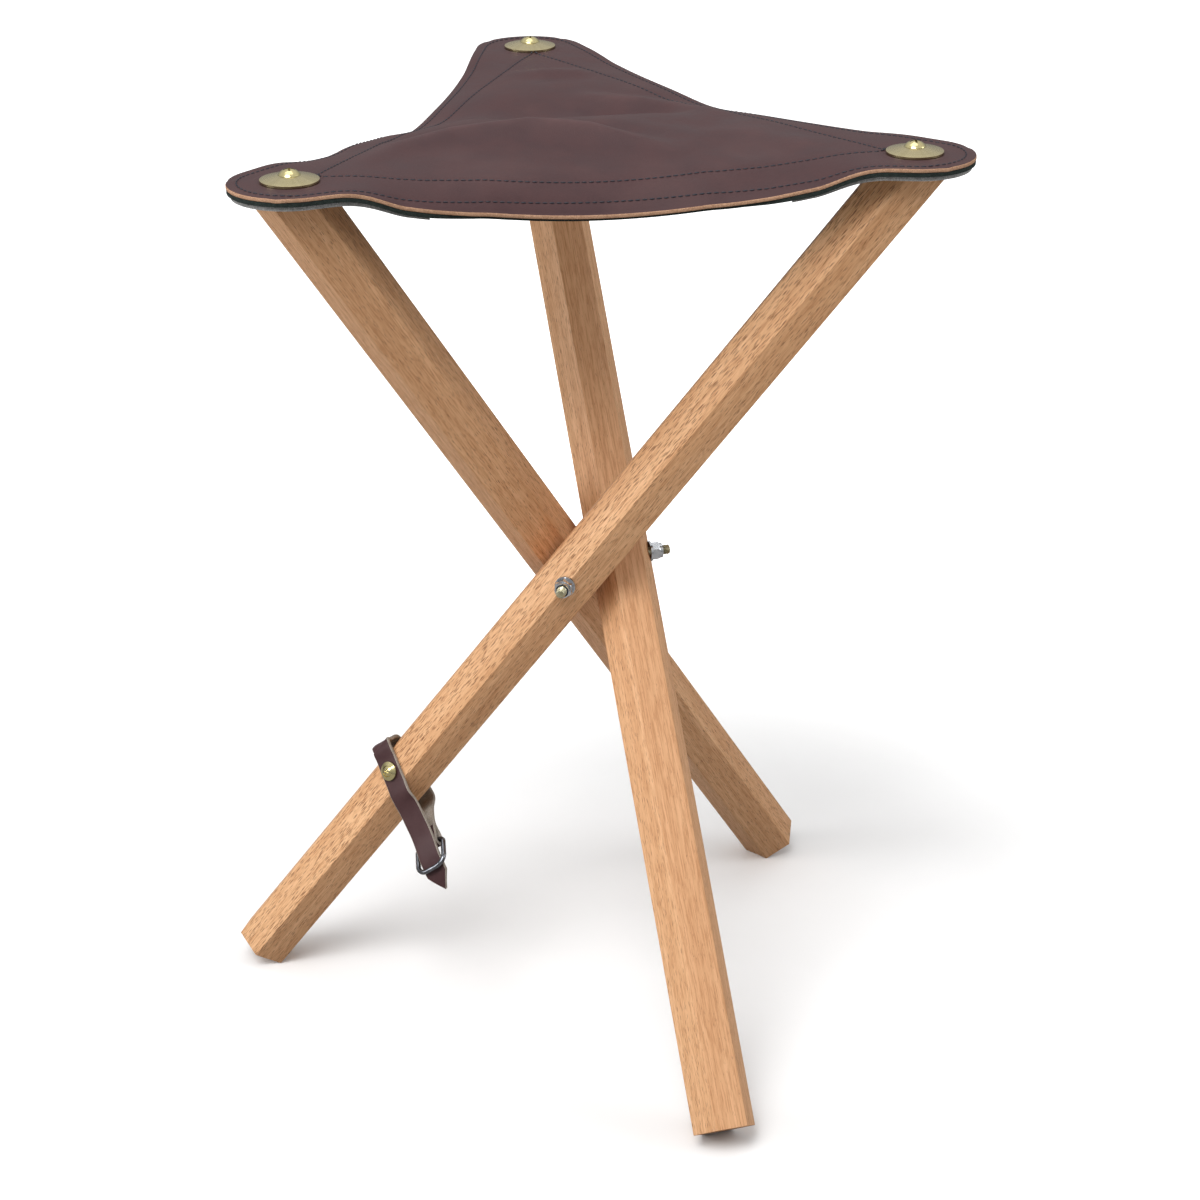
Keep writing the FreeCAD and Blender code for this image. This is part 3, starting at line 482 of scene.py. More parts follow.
def make_hide_grain():
    """Pebbles, creases and mottling of leather."""
    tree, given, result = new_group("hide_grain", ["Place", "Pebble Size"], ["Pebble", "Mottle", "Rub"])
    scale = maths(tree, "DIVIDE", 1.0, given["Pebble Size"])
    cells = add_node(tree, "ShaderNodeTexVoronoi", {"feature": "SMOOTH_F1"}, Vector=given["Place"],
                     Scale=scale)
    fine = noise(tree, given["Place"], maths(tree, "MULTIPLY", scale, 2.3), 3.0)
    pebble = maths(tree, "MULTIPLY_ADD", fine, 0.6, maths(tree, "SUBTRACT", 0.7, cells.outputs["Distance"]))
    connect(tree, result["Pebble"], pebble)
    connect(tree, result["Mottle"], noise(tree, given["Place"], 60.0, 4.0, 0.6))
    connect(tree, result["Rub"], stretch(tree, noise(tree, given["Place"], 22.0, 3.0), 0.5, 0.75))
    return tree


def make_fibre_nap():
    """Short loose fibres of a cut or split hide."""
    tree, given, result = new_group("fibre_nap", ["Place", "Fibre Size"], ["Nap", "Patch"])
    scale = maths(tree, "DIVIDE", 1.0, given["Fibre Size"])
    connect(tree, result["Nap"], noise(tree, given["Place"], scale, 4.0, 0.7))
    connect(tree, result["Patch"], noise(tree, given["Place"], maths(tree, "MULTIPLY", scale, 0.16), 2.0))
    return tree


def make_turning_marks():
    """Fine rings and fans left on a turned metal face, round the piece's own middle."""
    tree, given, result = new_group("turning_marks", ["Own Place"], ["Rings", "Fans"])
    flat = vector_maths(tree, "MULTIPLY", given["Own Place"], (1, 1, 0))["Vector"]
    distance = vector_maths(tree, "LENGTH", flat)["Value"]
    around = vector_maths(tree, "NORMALIZE", flat)["Vector"]
    rings = add_node(tree, "ShaderNodeTexNoise", {"noise_dimensions": "1D"}, Scale=5200.0, Detail=2.0)
    connect(tree, rings.inputs["W"], distance)
    connect(tree, result["Rings"], rings.outputs["Fac"])
    connect(tree, result["Fans"], noise(tree, around, 5.0, 3.0, 0.6))
    return tree


HIDE_GRAIN = make_hide_grain()
FIBRE_NAP = make_fibre_nap()
TURNING_MARKS = make_turning_marks()


# Materials


# Growth rings of the beech: their spacing, and how far they wander in radians of a ring
RING_SPACING = 3.4 * MM
RING_WANDER = 9.0
# Cells of its patterns: sizes along the rays, along the rings and along the leg
WANDER_CELL = (20 * MM, 20 * MM, 250 * MM)
TONE_CELL = (6 * MM, 6 * MM, 160 * MM)
FIBRE_CELL = (0.5 * MM, 0.5 * MM, 10 * MM)
FLECK_CELL = (0.5 * MM, 0.5 * MM, 6.4 * MM)
CROWD_CELL = (8 * MM, 8 * MM, 40 * MM)


def make_beech_flecks(tree, place, flecked):
    """Short dark flecks, larger where they crowd and on the faces that look along the rays."""
    crowd = noise(tree, squeezed(tree, place, CROWD_CELL), 1.0, 1.0)
    cells = add_node(tree, "ShaderNodeTexVoronoi", {"feature": "F1"}, Scale=1.0,
                     Vector=squeezed(tree, place, FLECK_CELL))
    reach = maths(tree, "MULTIPLY", stretch(tree, crowd, 0.3, 0.7, 0.34, 0.42), flecked)
    return stretch(tree, cells.outputs["Distance"], maths(tree, "MULTIPLY", reach, 0.5), reach, 1.0, 0.0)


def make_beech():
    """Lacquered beech with growth rings, fibres and flecks."""
    made, tree, shader = new_material("beech")
    place = stored(tree, "leg_place", "Vector")
    flecked = stored(tree, "flecked", "Fac")
    wander = noise(tree, squeezed(tree, place, WANDER_CELL), 1.0, 2.0)
    across = add_node(tree, "ShaderNodeSeparateXYZ", Vector=place).outputs["X"]
    wave = maths(tree, "MULTIPLY", wander, RING_WANDER)
    turn = maths(tree, "MULTIPLY_ADD", across, 2 * math.pi / RING_SPACING, wave)
    rings = stretch(tree, maths(tree, "SINE", turn), -1.0, 1.0)
    fibres = noise(tree, squeezed(tree, place, FIBRE_CELL), 1.0, 4.0, 0.65)
    tones = noise(tree, squeezed(tree, place, TONE_CELL), 1.0, 2.0)
    fleck = make_beech_flecks(tree, place, flecked)
    wood = mix_colour(tree, stretch(tree, tones, 0.3, 0.7), colour(234, 187, 142), colour(216, 166, 121))
    # faces cut across the rays are a little pinker
    wood = mix_colour(tree, stretch(tree, flecked, 0.35, 0.9, 0.4, 0.0), wood, colour(222, 168, 128))
    wood = tinted(tree, wood, colour(200, 148, 103), rings, 0.3)
    wood = tinted(tree, wood, colour(180, 124, 80), stretch(tree, fibres, 0.42, 0.66), 0.7)
    wood = tinted(tree, wood, colour(110, 62, 32), fleck, 0.75)
    wood = tinted(tree, wood, colour(150, 100, 58), stored(tree, "end_grain", "Fac"), 0.35)
    height = maths(tree, "MULTIPLY_ADD", fibres, 0.35, maths(tree, "MULTIPLY", fleck, -0.8))
    set_surface(tree, shader, wood, height, 0.12 * MM)
    set_roughness(tree, shader, fibres, 0.42, 0.58)
    shader.inputs["Specular IOR Level"].default_value = 0.3
    return made


def make_smooth_hide(name, dark, light, pebble_size):
    """Grain side of the leather, finely pebbled, with a painted highlight paler along the crests of its
    folds.
    """
    made, tree, shader = new_material(name)
    grain = use_group(tree, HIDE_GRAIN, Place=object_place(tree), Pebble_Size=pebble_size)
    tone = mix_colour(tree, stretch(tree, grain["Mottle"], 0.3, 0.7), dark, light)
    tone = tinted(tree, tone, colour(106, 80, 78), grain["Rub"], 0.12)
    # painted highlight: paler leather along the fold crests, standing in for their sheen
    highlight_share = stretch(tree, grain["Mottle"], 0.2, 0.8, 0.05, 0.2)
    tone = tinted(tree, tone, colour(110, 84, 84), stored(tree, "crest_highlight", "Fac"), highlight_share)
    set_surface(tree, shader, tone, grain["Pebble"], 0.05 * MM)
    connect(tree, shader.inputs["Roughness"], stretch(tree, grain["Mottle"], 0.25, 0.75, 0.44, 0.56))
    shader.inputs["Specular IOR Level"].default_value = 0.23
    return made


def make_raw_hide(name, dark, light, fibre_size):
    """Cut edge or flesh side of a hide, all short fibres."""
    made, tree, shader = new_material(name)
    nap = use_group(tree, FIBRE_NAP, Place=object_place(tree), Fibre_Size=fibre_size)
    tone = mix_colour(tree, stretch(tree, nap["Nap"], 0.3, 0.7), dark, light)
    tone = tinted(tree, tone, dark, stretch(tree, nap["Patch"], 0.4, 0.7), 0.4)
    set_surface(tree, shader, tone, nap["Nap"], 0.25 * MM)
    set_roughness(tree, shader, nap["Nap"], 0.8, 0.95)
    shader.inputs["Specular IOR Level"].default_value = 0.2
    return made


def make_brass(name, dark, light, roughness, brushing):
    """Turned brass with fine rings and lighter fans."""
    made, tree, shader = new_material(name)
    marks = use_group(tree, TURNING_MARKS, Own_Place=stored(tree, "own_place", "Vector"))
    tone = mix_colour(tree, stretch(tree, marks["Fans"], 0.3, 0.7), dark, light)
    set_surface(tree, shader, tone, marks["Rings"], 0.012 * MM)
    set_roughness(tree, shader, marks["Rings"], roughness * 0.8, roughness * 1.3)
    shader.inputs["Metallic"].default_value = 1.0
    to_world = {"vector_type": "VECTOR", "convert_from": "OBJECT", "convert_to": "WORLD"}
    way = add_node(tree, "ShaderNodeVectorTransform", to_world, Vector=stored(tree, "turned_way", "Vector"))
    connect(tree, shader.inputs["Tangent"], way.outputs[0])
    shader.inputs["Anisotropic"].default_value = brushing
    return made


def make_plated(name, dark, light, roughness):
    """Plated steel with a slightly cloudy sheen."""
    made, tree, shader = new_material(name)
    place = object_place(tree)
    cloud = noise(tree, place, 420.0, 3.0)
    speck = noise(tree, place, 3000.0, 2.0)
    tone = mix_colour(tree, stretch(tree, cloud, 0.3, 0.7), dark, light)
    set_surface(tree, shader, tone, speck, 0.01 * MM)
    set_roughness(tree, shader, speck, roughness * 0.8, roughness * 1.3)
    shader.inputs["Metallic"].default_value = 1.0
    return made


def make_dull(name, dark, light, size, depth):
    """Thread or nylon: a dull colour with a fine grain."""
    made, tree, shader = new_material(name)
    grain = noise(tree, object_place(tree), 1 / size, 3.0)
    tone = mix_colour(tree, stretch(tree, grain, 0.3, 0.7), dark, light)
    set_surface(tree, shader, tone, grain, depth)
    set_roughness(tree, shader, grain, 0.5, 0.75)
    return made


BEECH = make_beech()
SEAT_HIDE = make_smooth_hide("seat_hide", colour(59, 36, 38), colour(67, 43, 44), 0.55 * MM)
STRAP_HIDE = make_smooth_hide("strap_hide", colour(65, 41, 43), colour(74, 50, 51), 0.5 * MM)
SEAT_EDGE = make_raw_hide("seat_cut_edge", colour(150, 112, 88), colour(206, 166, 136), 0.45 * MM)
SEAT_FLESH = make_raw_hide("seat_flesh_side", colour(86, 66, 58), colour(118, 92, 80), 0.7 * MM)
BAND_HIDE = make_raw_hide("band_hide", colour(16, 21, 20), colour(52, 62, 58), 0.4 * MM)
PATCH_HIDE = make_raw_hide("patch_hide", colour(112, 112, 112), colour(190, 190, 188), 0.45 * MM)
STRAP_FLESH = make_raw_hide("strap_flesh_side", colour(128, 118, 108), colour(186, 178, 168), 0.35 * MM)
BRASS = make_brass("turned_brass", colour(182, 170, 130), colour(193, 181, 141), 0.27, 0.35)
BRIGHT_BRASS = make_brass("bright_brass", colour(194, 182, 132), colour(206, 195, 148), 0.16, 0.0)
ZINC = make_plated("zinc_plate", colour(186, 189, 193), colour(206, 208, 211), 0.2)
BOLT_ZINC = make_plated("yellow_zinc_plate", colour(170, 164, 132), colour(206, 200, 172), 0.28)
NICKEL = make_plated("nickel_plate", colour(92, 94, 100), colour(124, 126, 132), 0.12)
NYLON = make_dull("nylon", colour(22, 26, 40), colour(34, 40, 58), 0.4 * MM, 0.02 * MM)
THREAD = make_dull("sewing_thread", colour(16, 15, 25), colour(32, 30, 42), 0.12 * MM, 0.04 * MM)


# Legs


# Way of the tree's rays across each leg, in degrees from its bolt arm
RAY_TURN = {"left": 30, "right": -30, "rear": 0}
# How large the flecks of each leg are, as a share of the largest
FLECK_SHARE = {"left": 0.85, "right": 1.0, "rear": 0.72}
# Step between the places in the tree that the legs are cut from
GRAIN_STEP = np.array((0.09, 0.05, 1.7))
# How far the leg's edges are eased, which edges are long enough for it and how sharp they are
LEG_EASE = 0.7 * MM
EASED_LENGTH = 8 * LEG_EASE
EASED_TURN = (math.radians(40), math.radians(110))
# A face is end grain if its normal lies this much along the leg
END_GRAIN_SHARE = 0.7


def leg_frame(corner):
    """The leg's own frame: out along its bolt arm, up along the leg."""
    out = HINGE_LINE[corner]
    upward = Matrix.Rotation(-LEG_LEAN, 3, out) @ UP
    sideways = upward.cross(out)
    return Matrix.LocRotScale(HINGE_POINT[corner], Matrix((out, sideways, upward)).transposed(), None)


def is_long_edge(edge):
    """True for a sharp outer edge that is long enough to be eased."""
    if len(edge.link_faces) != 2 or edge.calc_length() < EASED_LENGTH:
        return False
    return EASED_TURN[0] < edge.calc_face_angle_signed() < EASED_TURN[1]


def dress_leg(corner, number):
    """A leg with eased edges, its wood measured along its own length."""
    shape = welded_copy(corner + "_leg")
    bmesh.ops.dissolve_limit(shape, angle_limit=math.radians(1), verts=shape.verts, edges=shape.edges)
    edges = [edge for edge in shape.edges if is_long_edge(edge)]
    bmesh.ops.bevel(shape, geom=edges, offset=LEG_EASE, segments=3, profile=0.5, affect="EDGES",
                    clamp_overlap=True)
    bmesh.ops.triangulate(shape, faces=[face for face in shape.faces if len(face.verts) > 4])
    mesh = shape_mesh(corner + "_leg_wood", shape)
    made = add_mesh(mesh, [BEECH], LEG_SHARP)
    own = leg_frame(corner)
    inverse = np.array(own.inverted())
    place = mesh_points(mesh) @ inverse[:3, :3].T + inverse[:3, 3]
    # the first direction runs out along the tree's rays
    ray = math.radians(RAY_TURN[corner])
    turned = np.array(((math.cos(ray), math.sin(ray), 0), (-math.sin(ray), math.cos(ray), 0), (0, 0, 1)))
    set_places(mesh, "leg_place", place @ turned.T + GRAIN_STEP * (number + 1))
    # flecks show most on the faces that look along the rays
    ray_way = own.to_3x3() @ Vector((math.cos(ray), math.sin(ray), 0))
    facing = [abs(face.normal.dot(ray_way)) for face in mesh.polygons]
    set_values(mesh, "flecked", "FACE", [FLECK_SHARE[corner] * (0.5 + 0.5 * share) for share in facing])
    upward = own.to_3x3() @ UP
    is_end = [abs(face.normal.dot(upward)) > END_GRAIN_SHARE for face in mesh.polygons]
    set_values(mesh, "end_grain", "FACE", [float(end) for end in is_end])
    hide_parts(corner + "_leg")
    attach(made, corner + "_leg")


for leg_number, leg_corner in enumerate(CORNERS):
    dress_leg(leg_corner, leg_number)


# Brass, steel and nylon pieces


# Directions round a small piece are stored this many times longer
WAY_SCALE = 100


def dress_brass(node, body, axis, material):
    """A brass piece with its turning marks measured from its own middle line."""
    mesh = shape_mesh(node + "_brass", welded_copy(node))
    made = add_mesh(mesh, [material], METAL_SHARP)
    turned = UP.rotation_difference(axis).to_matrix()
    away = mesh_points(mesh) - np.array(box_middle(node))
    set_places(mesh, "own_place", away @ np.array(turned))
    set_places(mesh, "turned_way", np.cross(np.array(axis), away) * WAY_SCALE)
    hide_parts(node)
    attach(made, body)


def paint_node(node, material):
    """Gives a CAD piece its material."""
    mesh = frame["nodes"][node].data
    mesh.materials.clear()
    mesh.materials.append(material)


RIGHT_LEG = leg_frame("right")
# Way out of the leg's face that the strap is screwed to
STRAP_FACE = Vector((math.cos(math.radians(30)), -math.sin(math.radians(30)), 0))
for hardware_corner in CORNERS:
    dress_brass(hardware_corner + "_corner_washer", hardware_corner + "_leg", UP, BRASS)
    dress_brass(hardware_corner + "_corner_screw", hardware_corner + "_leg", UP, BRIGHT_BRASS)
    paint_node(hardware_corner + "_bolt_washer", ZINC)
    paint_node(hardware_corner + "_lock_nut", ZINC)
    paint_node(hardware_corner + "_nut_insert", NYLON)
dress_brass("strap_cup_washer", "right_leg", RIGHT_LEG.to_3x3() @ STRAP_FACE, BRIGHT_BRASS)
dress_brass("strap_screw", "right_leg", RIGHT_LEG.to_3x3() @ STRAP_FACE, BRIGHT_BRASS)
paint_node("strap_ring", NICKEL)


# Bolt with threaded ends


BOLT_RADIUS = 2.5 * MM
THREAD_PITCH = 0.8 * MM
THREAD_DEPTH = 0.42 * MM
THREAD_ROUNDING = 0.8
THREAD_TURN_POINTS = 32
THREAD_ROWS_A_PITCH = 10
# The threaded end starts this far inside the nut, and its tip is eased over a length and by a depth
THREAD_START = 1.6 * MM
TIP_LENGTH, TIP_EASE = 0.7 * MM, 0.6 * MM
# The plain bolt reaches this far into the threaded end
THREAD_LAP = 0.05 * MM


def reach_along(node, way):
    """Nearest and farthest distance of a piece from the frame's middle line along a direction."""
    reach = mesh_points(frame["nodes"][node].data) @ np.array(way)
    return reach.min(), reach.max()


def threaded_end(corner):
    """Points and faces of a bolt arm's end with a cut thread, from inside the nut to its tip."""
    way = HINGE_LINE[corner]
    start = reach_along(corner + "_lock_nut", way)[1] - THREAD_START
    end = reach_along("three_way_bolt", way)[1]
    sideways = UP.cross(way).normalized()
    upward = way.cross(sideways)
    rows = int((end - start) / (THREAD_PITCH / THREAD_ROWS_A_PITCH))
    points = []
    for row in range(rows + 1):
        distance = start + (end - start) * row / rows
        tip = np.clip((end - distance) / TIP_LENGTH, 0, 1)
        for column in range(THREAD_TURN_POINTS):
            share = column / THREAD_TURN_POINTS
            phase = ((distance - start) / THREAD_PITCH - share) % 1
            radius = BOLT_RADIUS - THREAD_DEPTH * (1 - abs(2 * phase - 1)) ** THREAD_ROUNDING
            radius = min(radius, BOLT_RADIUS - TIP_EASE * (1 - tip))
            angle = 2 * math.pi * share
            side = sideways * math.cos(angle) + upward * math.sin(angle)
            points.append(way * distance + side * radius + UP * HINGE_POINT[corner].z)
    return points, tube_faces(rows, THREAD_TURN_POINTS), start


def dress_bolt():
    """The three-way bolt with each arm's end cut off inside its nut, and a threaded end put there."""
    shape = welded_copy("three_way_bolt")
    for corner in CORNERS:
        points, faces, start = threaded_end(corner)
        way = HINGE_LINE[corner]
        end = add_object(corner + "_bolt_thread", points, faces, [BOLT_ZINC])
        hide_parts("three_way_bolt")
        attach(end, "pivot")
        parts = list(shape.verts) + list(shape.edges) + list(shape.faces)
        bmesh.ops.bisect_plane(shape, geom=parts, dist=WELD_DISTANCE, plane_co=way * (start + THREAD_LAP),
                               plane_no=way, clear_outer=True)
        bmesh.ops.holes_fill(shape, edges=[edge for edge in shape.edges if edge.is_boundary], sides=0)
    made = add_mesh(shape_mesh("three_way_bolt_body", shape), [BOLT_ZINC], METAL_SHARP)
    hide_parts("three_way_bolt")
    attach(made, "pivot")


dress_bolt()


# Seat leather, one piece for each corner, meeting along lines from the middle to the sides


SEAT_CELLS, BAND_CELLS, PATCH_CELLS = 120, 90, 260
LAYER_ROWS = 14
# Sides of the seat that a corner lies between, the one that leaves it first
EDGE_BANDS = {"left": ("front", "left"), "right": ("right", "front"), "rear": ("left", "right")}
# Places of the leather's three materials
GRAIN_SIDE, CUT_EDGE, FLESH_SIDE = 0, 1, 2
# Rim of a cut hide: steps in from the edge and shares of its thickness down
RIM = [(0.5, 0.0), (0.16, 0.07), (0.0, 0.25), (0.0, 0.78), (0.16, 0.94), (0.5, 1.0)]


def corner_grid(corner, inset):
    """Plan points of a corner's part of the seat: rows from the middle to one side, columns to the other."""
    before = half_outline(corner, side_before(corner), inset, SEAT_CELLS)
    after = half_outline(corner, corner, inset, SEAT_CELLS)
    share = np.linspace(0, 1, SEAT_CELLS + 1)
    u, v = share[:, None, None], share[None, :, None]
    middle = SEAT_MIDDLE
    to_before = middle + (before[0] - middle) * u
    to_after = middle + (after[0] - middle) * v
    across = (1 - u) * to_after + u * before[None, :, :]
    along = (1 - v) * to_before + v * after[:, None, :]
    square = (1 - u) * ((1 - v) * middle + v * after[0]) + u * ((1 - v) * before[0] + v * before[-1])
    return across + along - square


def washer_swell(points):
    """Leather pushed up a little round each washer."""
    swell = np.zeros(len(points))
    for corner in CORNERS:
        away = np.linalg.norm(points - SCREW_PLACE[corner], axis=1)
        swell += SWELL_HEIGHT * np.exp(-(((away - WASHER_RADIUS - SWELL_AWAY) / SWELL_WIDTH) ** 2))
    return swell


def row_distance(points):
    """Distance to the nearest stitched row."""
    nearest = np.full(len(points), 1.0)
    for side in CORNERS:
        along, inside = side_place(side, points)
        between = (along > WASHER_RADIUS) & (along < SIDE_LENGTH - WASHER_RADIUS)
        nearest = np.where(between, np.minimum(nearest, abs(inside - INNER_ROW_INSET)), nearest)
        off = SIDE_RADIUS + SIDE_REACH + inside
        arc = np.hypot(off, along - SIDE_LENGTH / 2) - SIDE_RADIUS
        nearest = np.minimum(nearest, abs(arc - OUTER_ROW_INSET))
    return nearest


def leather_height(points):
    """Top of the seat leather, drawn down a little along its stitches."""
    pulled = PULL_DEPTH * np.exp(-((row_distance(points) / PULL_WIDTH) ** 2))
    return LEATHER_TOP + seat_form(points) + washer_swell(points) - pulled


def turn_with_leg(piece):
    """Bakes the piece's place into its points, leaving its object at the origin."""
    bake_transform(piece)


def make_seat_corner(corner):
    """A third of the seat leather: grain side, flesh side and a rounded cut edge."""
    count = SEAT_CELLS + 1
    plan = corner_grid(corner, RIM[0][0] * MM).reshape(-1, 2)
    top = leather_height(plan)
    points = [np.column_stack([plan, top]), np.column_stack([plan, top - LEATHER_THICKNESS])]
    faces, kinds = [], []
    for i in range(SEAT_CELLS):
        for j in range(SEAT_CELLS):
            a, b, c, d = i * count + j, (i + 1) * count + j, (i + 1) * count + j + 1, i * count + j + 1
            faces.append((a, b, c, d))
            kinds.append(GRAIN_SIDE)
            faces.append(tuple(count * count + k for k in (d, c, b, a)))
            kinds.append(FLESH_SIDE)
    edge_top = [SEAT_CELLS * count + j for j in range(count)]
    edge_top += [i * count + SEAT_CELLS for i in reversed(range(SEAT_CELLS))]
    loops = [edge_top]
    base = leather_height(corner_outline(corner, RIM[0][0] * MM, SEAT_CELLS))
    total = 2 * count * count
    for inset, share in RIM[1:-1]:
        outline = corner_outline(corner, inset * MM, SEAT_CELLS)
        points.append(np.column_stack([outline, base - share * LEATHER_THICKNESS]))
        loops.append(list(range(total, total + len(outline))))
        total += len(outline)
    loops.append([count * count + k for k in edge_top])
    for level in range(len(loops) - 1):
        upper, lower = loops[level], loops[level + 1]
        for k in range(len(upper) - 1):
            faces.append((upper[k], lower[k], lower[k + 1], upper[k + 1]))
            kinds.append(GRAIN_SIDE if level == 0 else CUT_EDGE)
    seam_before = [i * count for i in range(count)]
    seam_after = list(range(count))
    faces.append(tuple(seam_before[::-1]) + tuple(count * count + k for k in seam_before)
                 + tuple(loop[0] for loop in loops[-2:0:-1]))
    kinds.append(CUT_EDGE)
    faces.append(tuple(seam_after) + tuple(loop[-1] for loop in loops[1:-1])
                 + tuple(count * count + k for k in reversed(seam_after)))
    kinds.append(CUT_EDGE)
    hides = [SEAT_HIDE, SEAT_EDGE, SEAT_FLESH]
    made = add_object(corner + "_seat_leather", np.concatenate(points), faces, hides, kinds)
    # painted highlight along the fold crests, read by the grain side's material
    set_values(made.data, "crest_highlight", "POINT", fold_highlight(mesh_points(made.data)[:, :2]))
    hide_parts("seat_leather")
    turn_with_leg(made)
    outline = np.concatenate([corner_outline(corner, 0.0, SEAT_CELLS), [SEAT_MIDDLE]])


def make_under_layer(name, outer, inner, top, thickness, material):
    """A strip of hide under the seat between an outer and an inner line, following the seat's form."""
    rows = [outer + (inner - outer) * k / LAYER_ROWS for k in range(LAYER_ROWS + 1)]
    count = len(outer)
    plan = np.concatenate(rows)
    height = top + LAYER_SWELL + seat_form(plan)
    deep = thickness + LAYER_SWELL
    size = len(plan)
    points = [np.column_stack([plan, height]), np.column_stack([plan, height - deep])]
    faces = []
    for k in range(LAYER_ROWS):
        for j in range(count - 1):
            a, b, c, d = k * count + j, k * count + j + 1, (k + 1) * count + j + 1, (k + 1) * count + j
            faces.append((a, b, c, d))
            faces.append((size + d, size + c, size + b, size + a))
    first = list(range(count))
    last = [LAYER_ROWS * count + j for j in range(count)]
    ends_first = [k * count for k in range(LAYER_ROWS + 1)]
    ends_last = [k * count + count - 1 for k in range(LAYER_ROWS + 1)]
    for line in (first[::-1], last, ends_first, ends_last[::-1]):
        for k in range(len(line) - 1):
            faces.append((line[k], line[k + 1], size + line[k + 1], size + line[k])[::-1])
    return add_object(name, np.concatenate(points), faces, [material])


def make_bands(corner):
    """The dark bands under the two edges that meet at a corner, mitred there."""
    screw = SCREW_PLACE[corner]
    flush = corner_outline(corner, BAND_TRIM, BAND_CELLS)
    outer = corner_outline(corner, BAND_SETBACK, BAND_CELLS)
    away = np.linalg.norm(flush - screw, axis=1)
    outer = flush + (outer - flush) * smooth_step((away - 2 * LOBE_RADIUS) / LOBE_RADIUS)[:, None]
    mitre = screw - CORNER_WAY[corner] * 2 * BAND_INSET
    ends = []
    for end in (outer[0], outer[-1]):
        inward = (SEAT_MIDDLE - end) / np.linalg.norm(SEAT_MIDDLE - end)
        ends.append(end + inward * (SIDE_REACH + BAND_INSET))
    share = np.linspace(0, 1, BAND_CELLS + 1)[:, None]
    inner = np.concatenate([ends[0] + (mitre - ends[0]) * share, (mitre + (ends[1] - mitre) * share)[1:]])
    made = make_under_layer(corner + "_bands", outer, inner, BAND_TOP, BAND_THICKNESS, BAND_HIDE)
    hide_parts(*(side + "_edge_band" for side in EDGE_BANDS[corner]))
    turn_with_leg(made)


def make_patch(corner):
    """The grey patch under a corner, cut square across its inner end."""
    outline = corner_outline(corner, PATCH_SETBACK, PATCH_CELLS)
    ahead = (outline - SEAT_MIDDLE) @ CORNER_WAY[corner]
    outer = outline[ahead >= CORNER_REACH - PATCH_LENGTH]
    share = np.linspace(0, 1, len(outer))[:, None]
    inner = outer[0] + (outer[-1] - outer[0]) * share
    pull = smooth_step(np.minimum(share, 1 - share) * PATCH_SPREAD)
    inner = outer + (inner - outer) * np.maximum(pull, PATCH_LEAST)
    made = make_under_layer(corner + "_patch", outer, inner, PATCH_TOP, PATCH_THICKNESS, PATCH_HIDE)
    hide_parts(corner + "_corner_patch")
    turn_with_leg(made)


for seat_corner in CORNERS:
    make_patch(seat_corner)
    make_bands(seat_corner)
    make_seat_corner(seat_corner)


# Stitches along the seat's rows


def make_stitch_tree():
    """Lays one stitch at every pitch along rows of edges."""
    tree = bpy.data.node_groups.new("stitch_rows", "GeometryNodeTree")
    tree.interface.new_socket("Rows", in_out="INPUT", socket_type="NodeSocketGeometry")
    for name in ("Pitch", "Length", "Width"):
        tree.interface.new_socket(name, in_out="INPUT", socket_type="NodeSocketFloat")
    tree.interface.new_socket("Thread", in_out="INPUT", socket_type="NodeSocketMaterial")
    tree.interface.new_socket("Stitches", in_out="OUTPUT", socket_type="NodeSocketGeometry")
    given = tree.nodes.new("NodeGroupInput").outputs
    result = tree.nodes.new("NodeGroupOutput").inputs
    curve = add_node(tree, "GeometryNodeMeshToCurve", Mesh=given["Rows"])
    spaced = add_node(tree, "GeometryNodeResampleCurve", {"mode": "LENGTH"}, Curve=curve.outputs["Curve"],
                      Length=given["Pitch"])
    tangent = tree.nodes.new("GeometryNodeInputTangent")
    turned = add_node(tree, "FunctionNodeAlignRotationToVector", {"axis": "X"}, Vector=tangent.outputs[0])
    stitch = add_node(tree, "GeometryNodeMeshUVSphere", Segments=8, Rings=6, Radius=0.5)
    size = add_node(tree, "ShaderNodeCombineXYZ", X=given["Length"], Y=given["Width"], Z=given["Width"])
    shaped = add_node(tree, "GeometryNodeTransform", Geometry=stitch.outputs["Mesh"], Scale=size.outputs[0])
    laid = add_node(tree, "GeometryNodeInstanceOnPoints", Points=spaced.outputs["Curve"],
                    Instance=shaped.outputs["Geometry"], Rotation=turned.outputs["Rotation"])
    real = add_node(tree, "GeometryNodeRealizeInstances", Geometry=laid.outputs["Instances"])
    painted = add_node(tree, "GeometryNodeSetMaterial", Geometry=real.outputs["Geometry"],
                       Material=given["Thread"])
    connect(tree, result["Stitches"], painted.outputs["Geometry"])
    return tree


STITCH_TREE = make_stitch_tree()


def sew(name, rows):
    """A plain mesh of stitches along rows of points."""
    points, edges = [], []
    for row in rows:
        start = len(points)
        points += [tuple(p) for p in row]
        edges += [(start + k, start + k + 1) for k in range(len(row) - 1)]
    mesh = bpy.data.meshes.new(name + "_rows")
    mesh.from_pydata(points, edges, [])
    path = link_object(name + "_rows", mesh)
    modifier = path.modifiers.new("stitches", "NODES")
    modifier.node_group = STITCH_TREE
    values = {"Pitch": STITCH_PITCH, "Length": STITCH_LENGTH, "Width": STITCH_WIDTH, "Thread": THREAD}
    for socket in STITCH_TREE.interface.items_tree:
        if socket.name in values and socket.in_out == "INPUT":
            modifier[socket.identifier] = values[socket.name]
    depsgraph = bpy.context.evaluated_depsgraph_get()
    sewn = bpy.data.meshes.new_from_object(path.evaluated_get(depsgraph))
    sewn.name = name
    bpy.data.objects.remove(path)
    bpy.data.meshes.remove(mesh)
    sewn.polygons.foreach_set("use_smooth", [True] * len(sewn.polygons))
    return link_object(name, sewn)


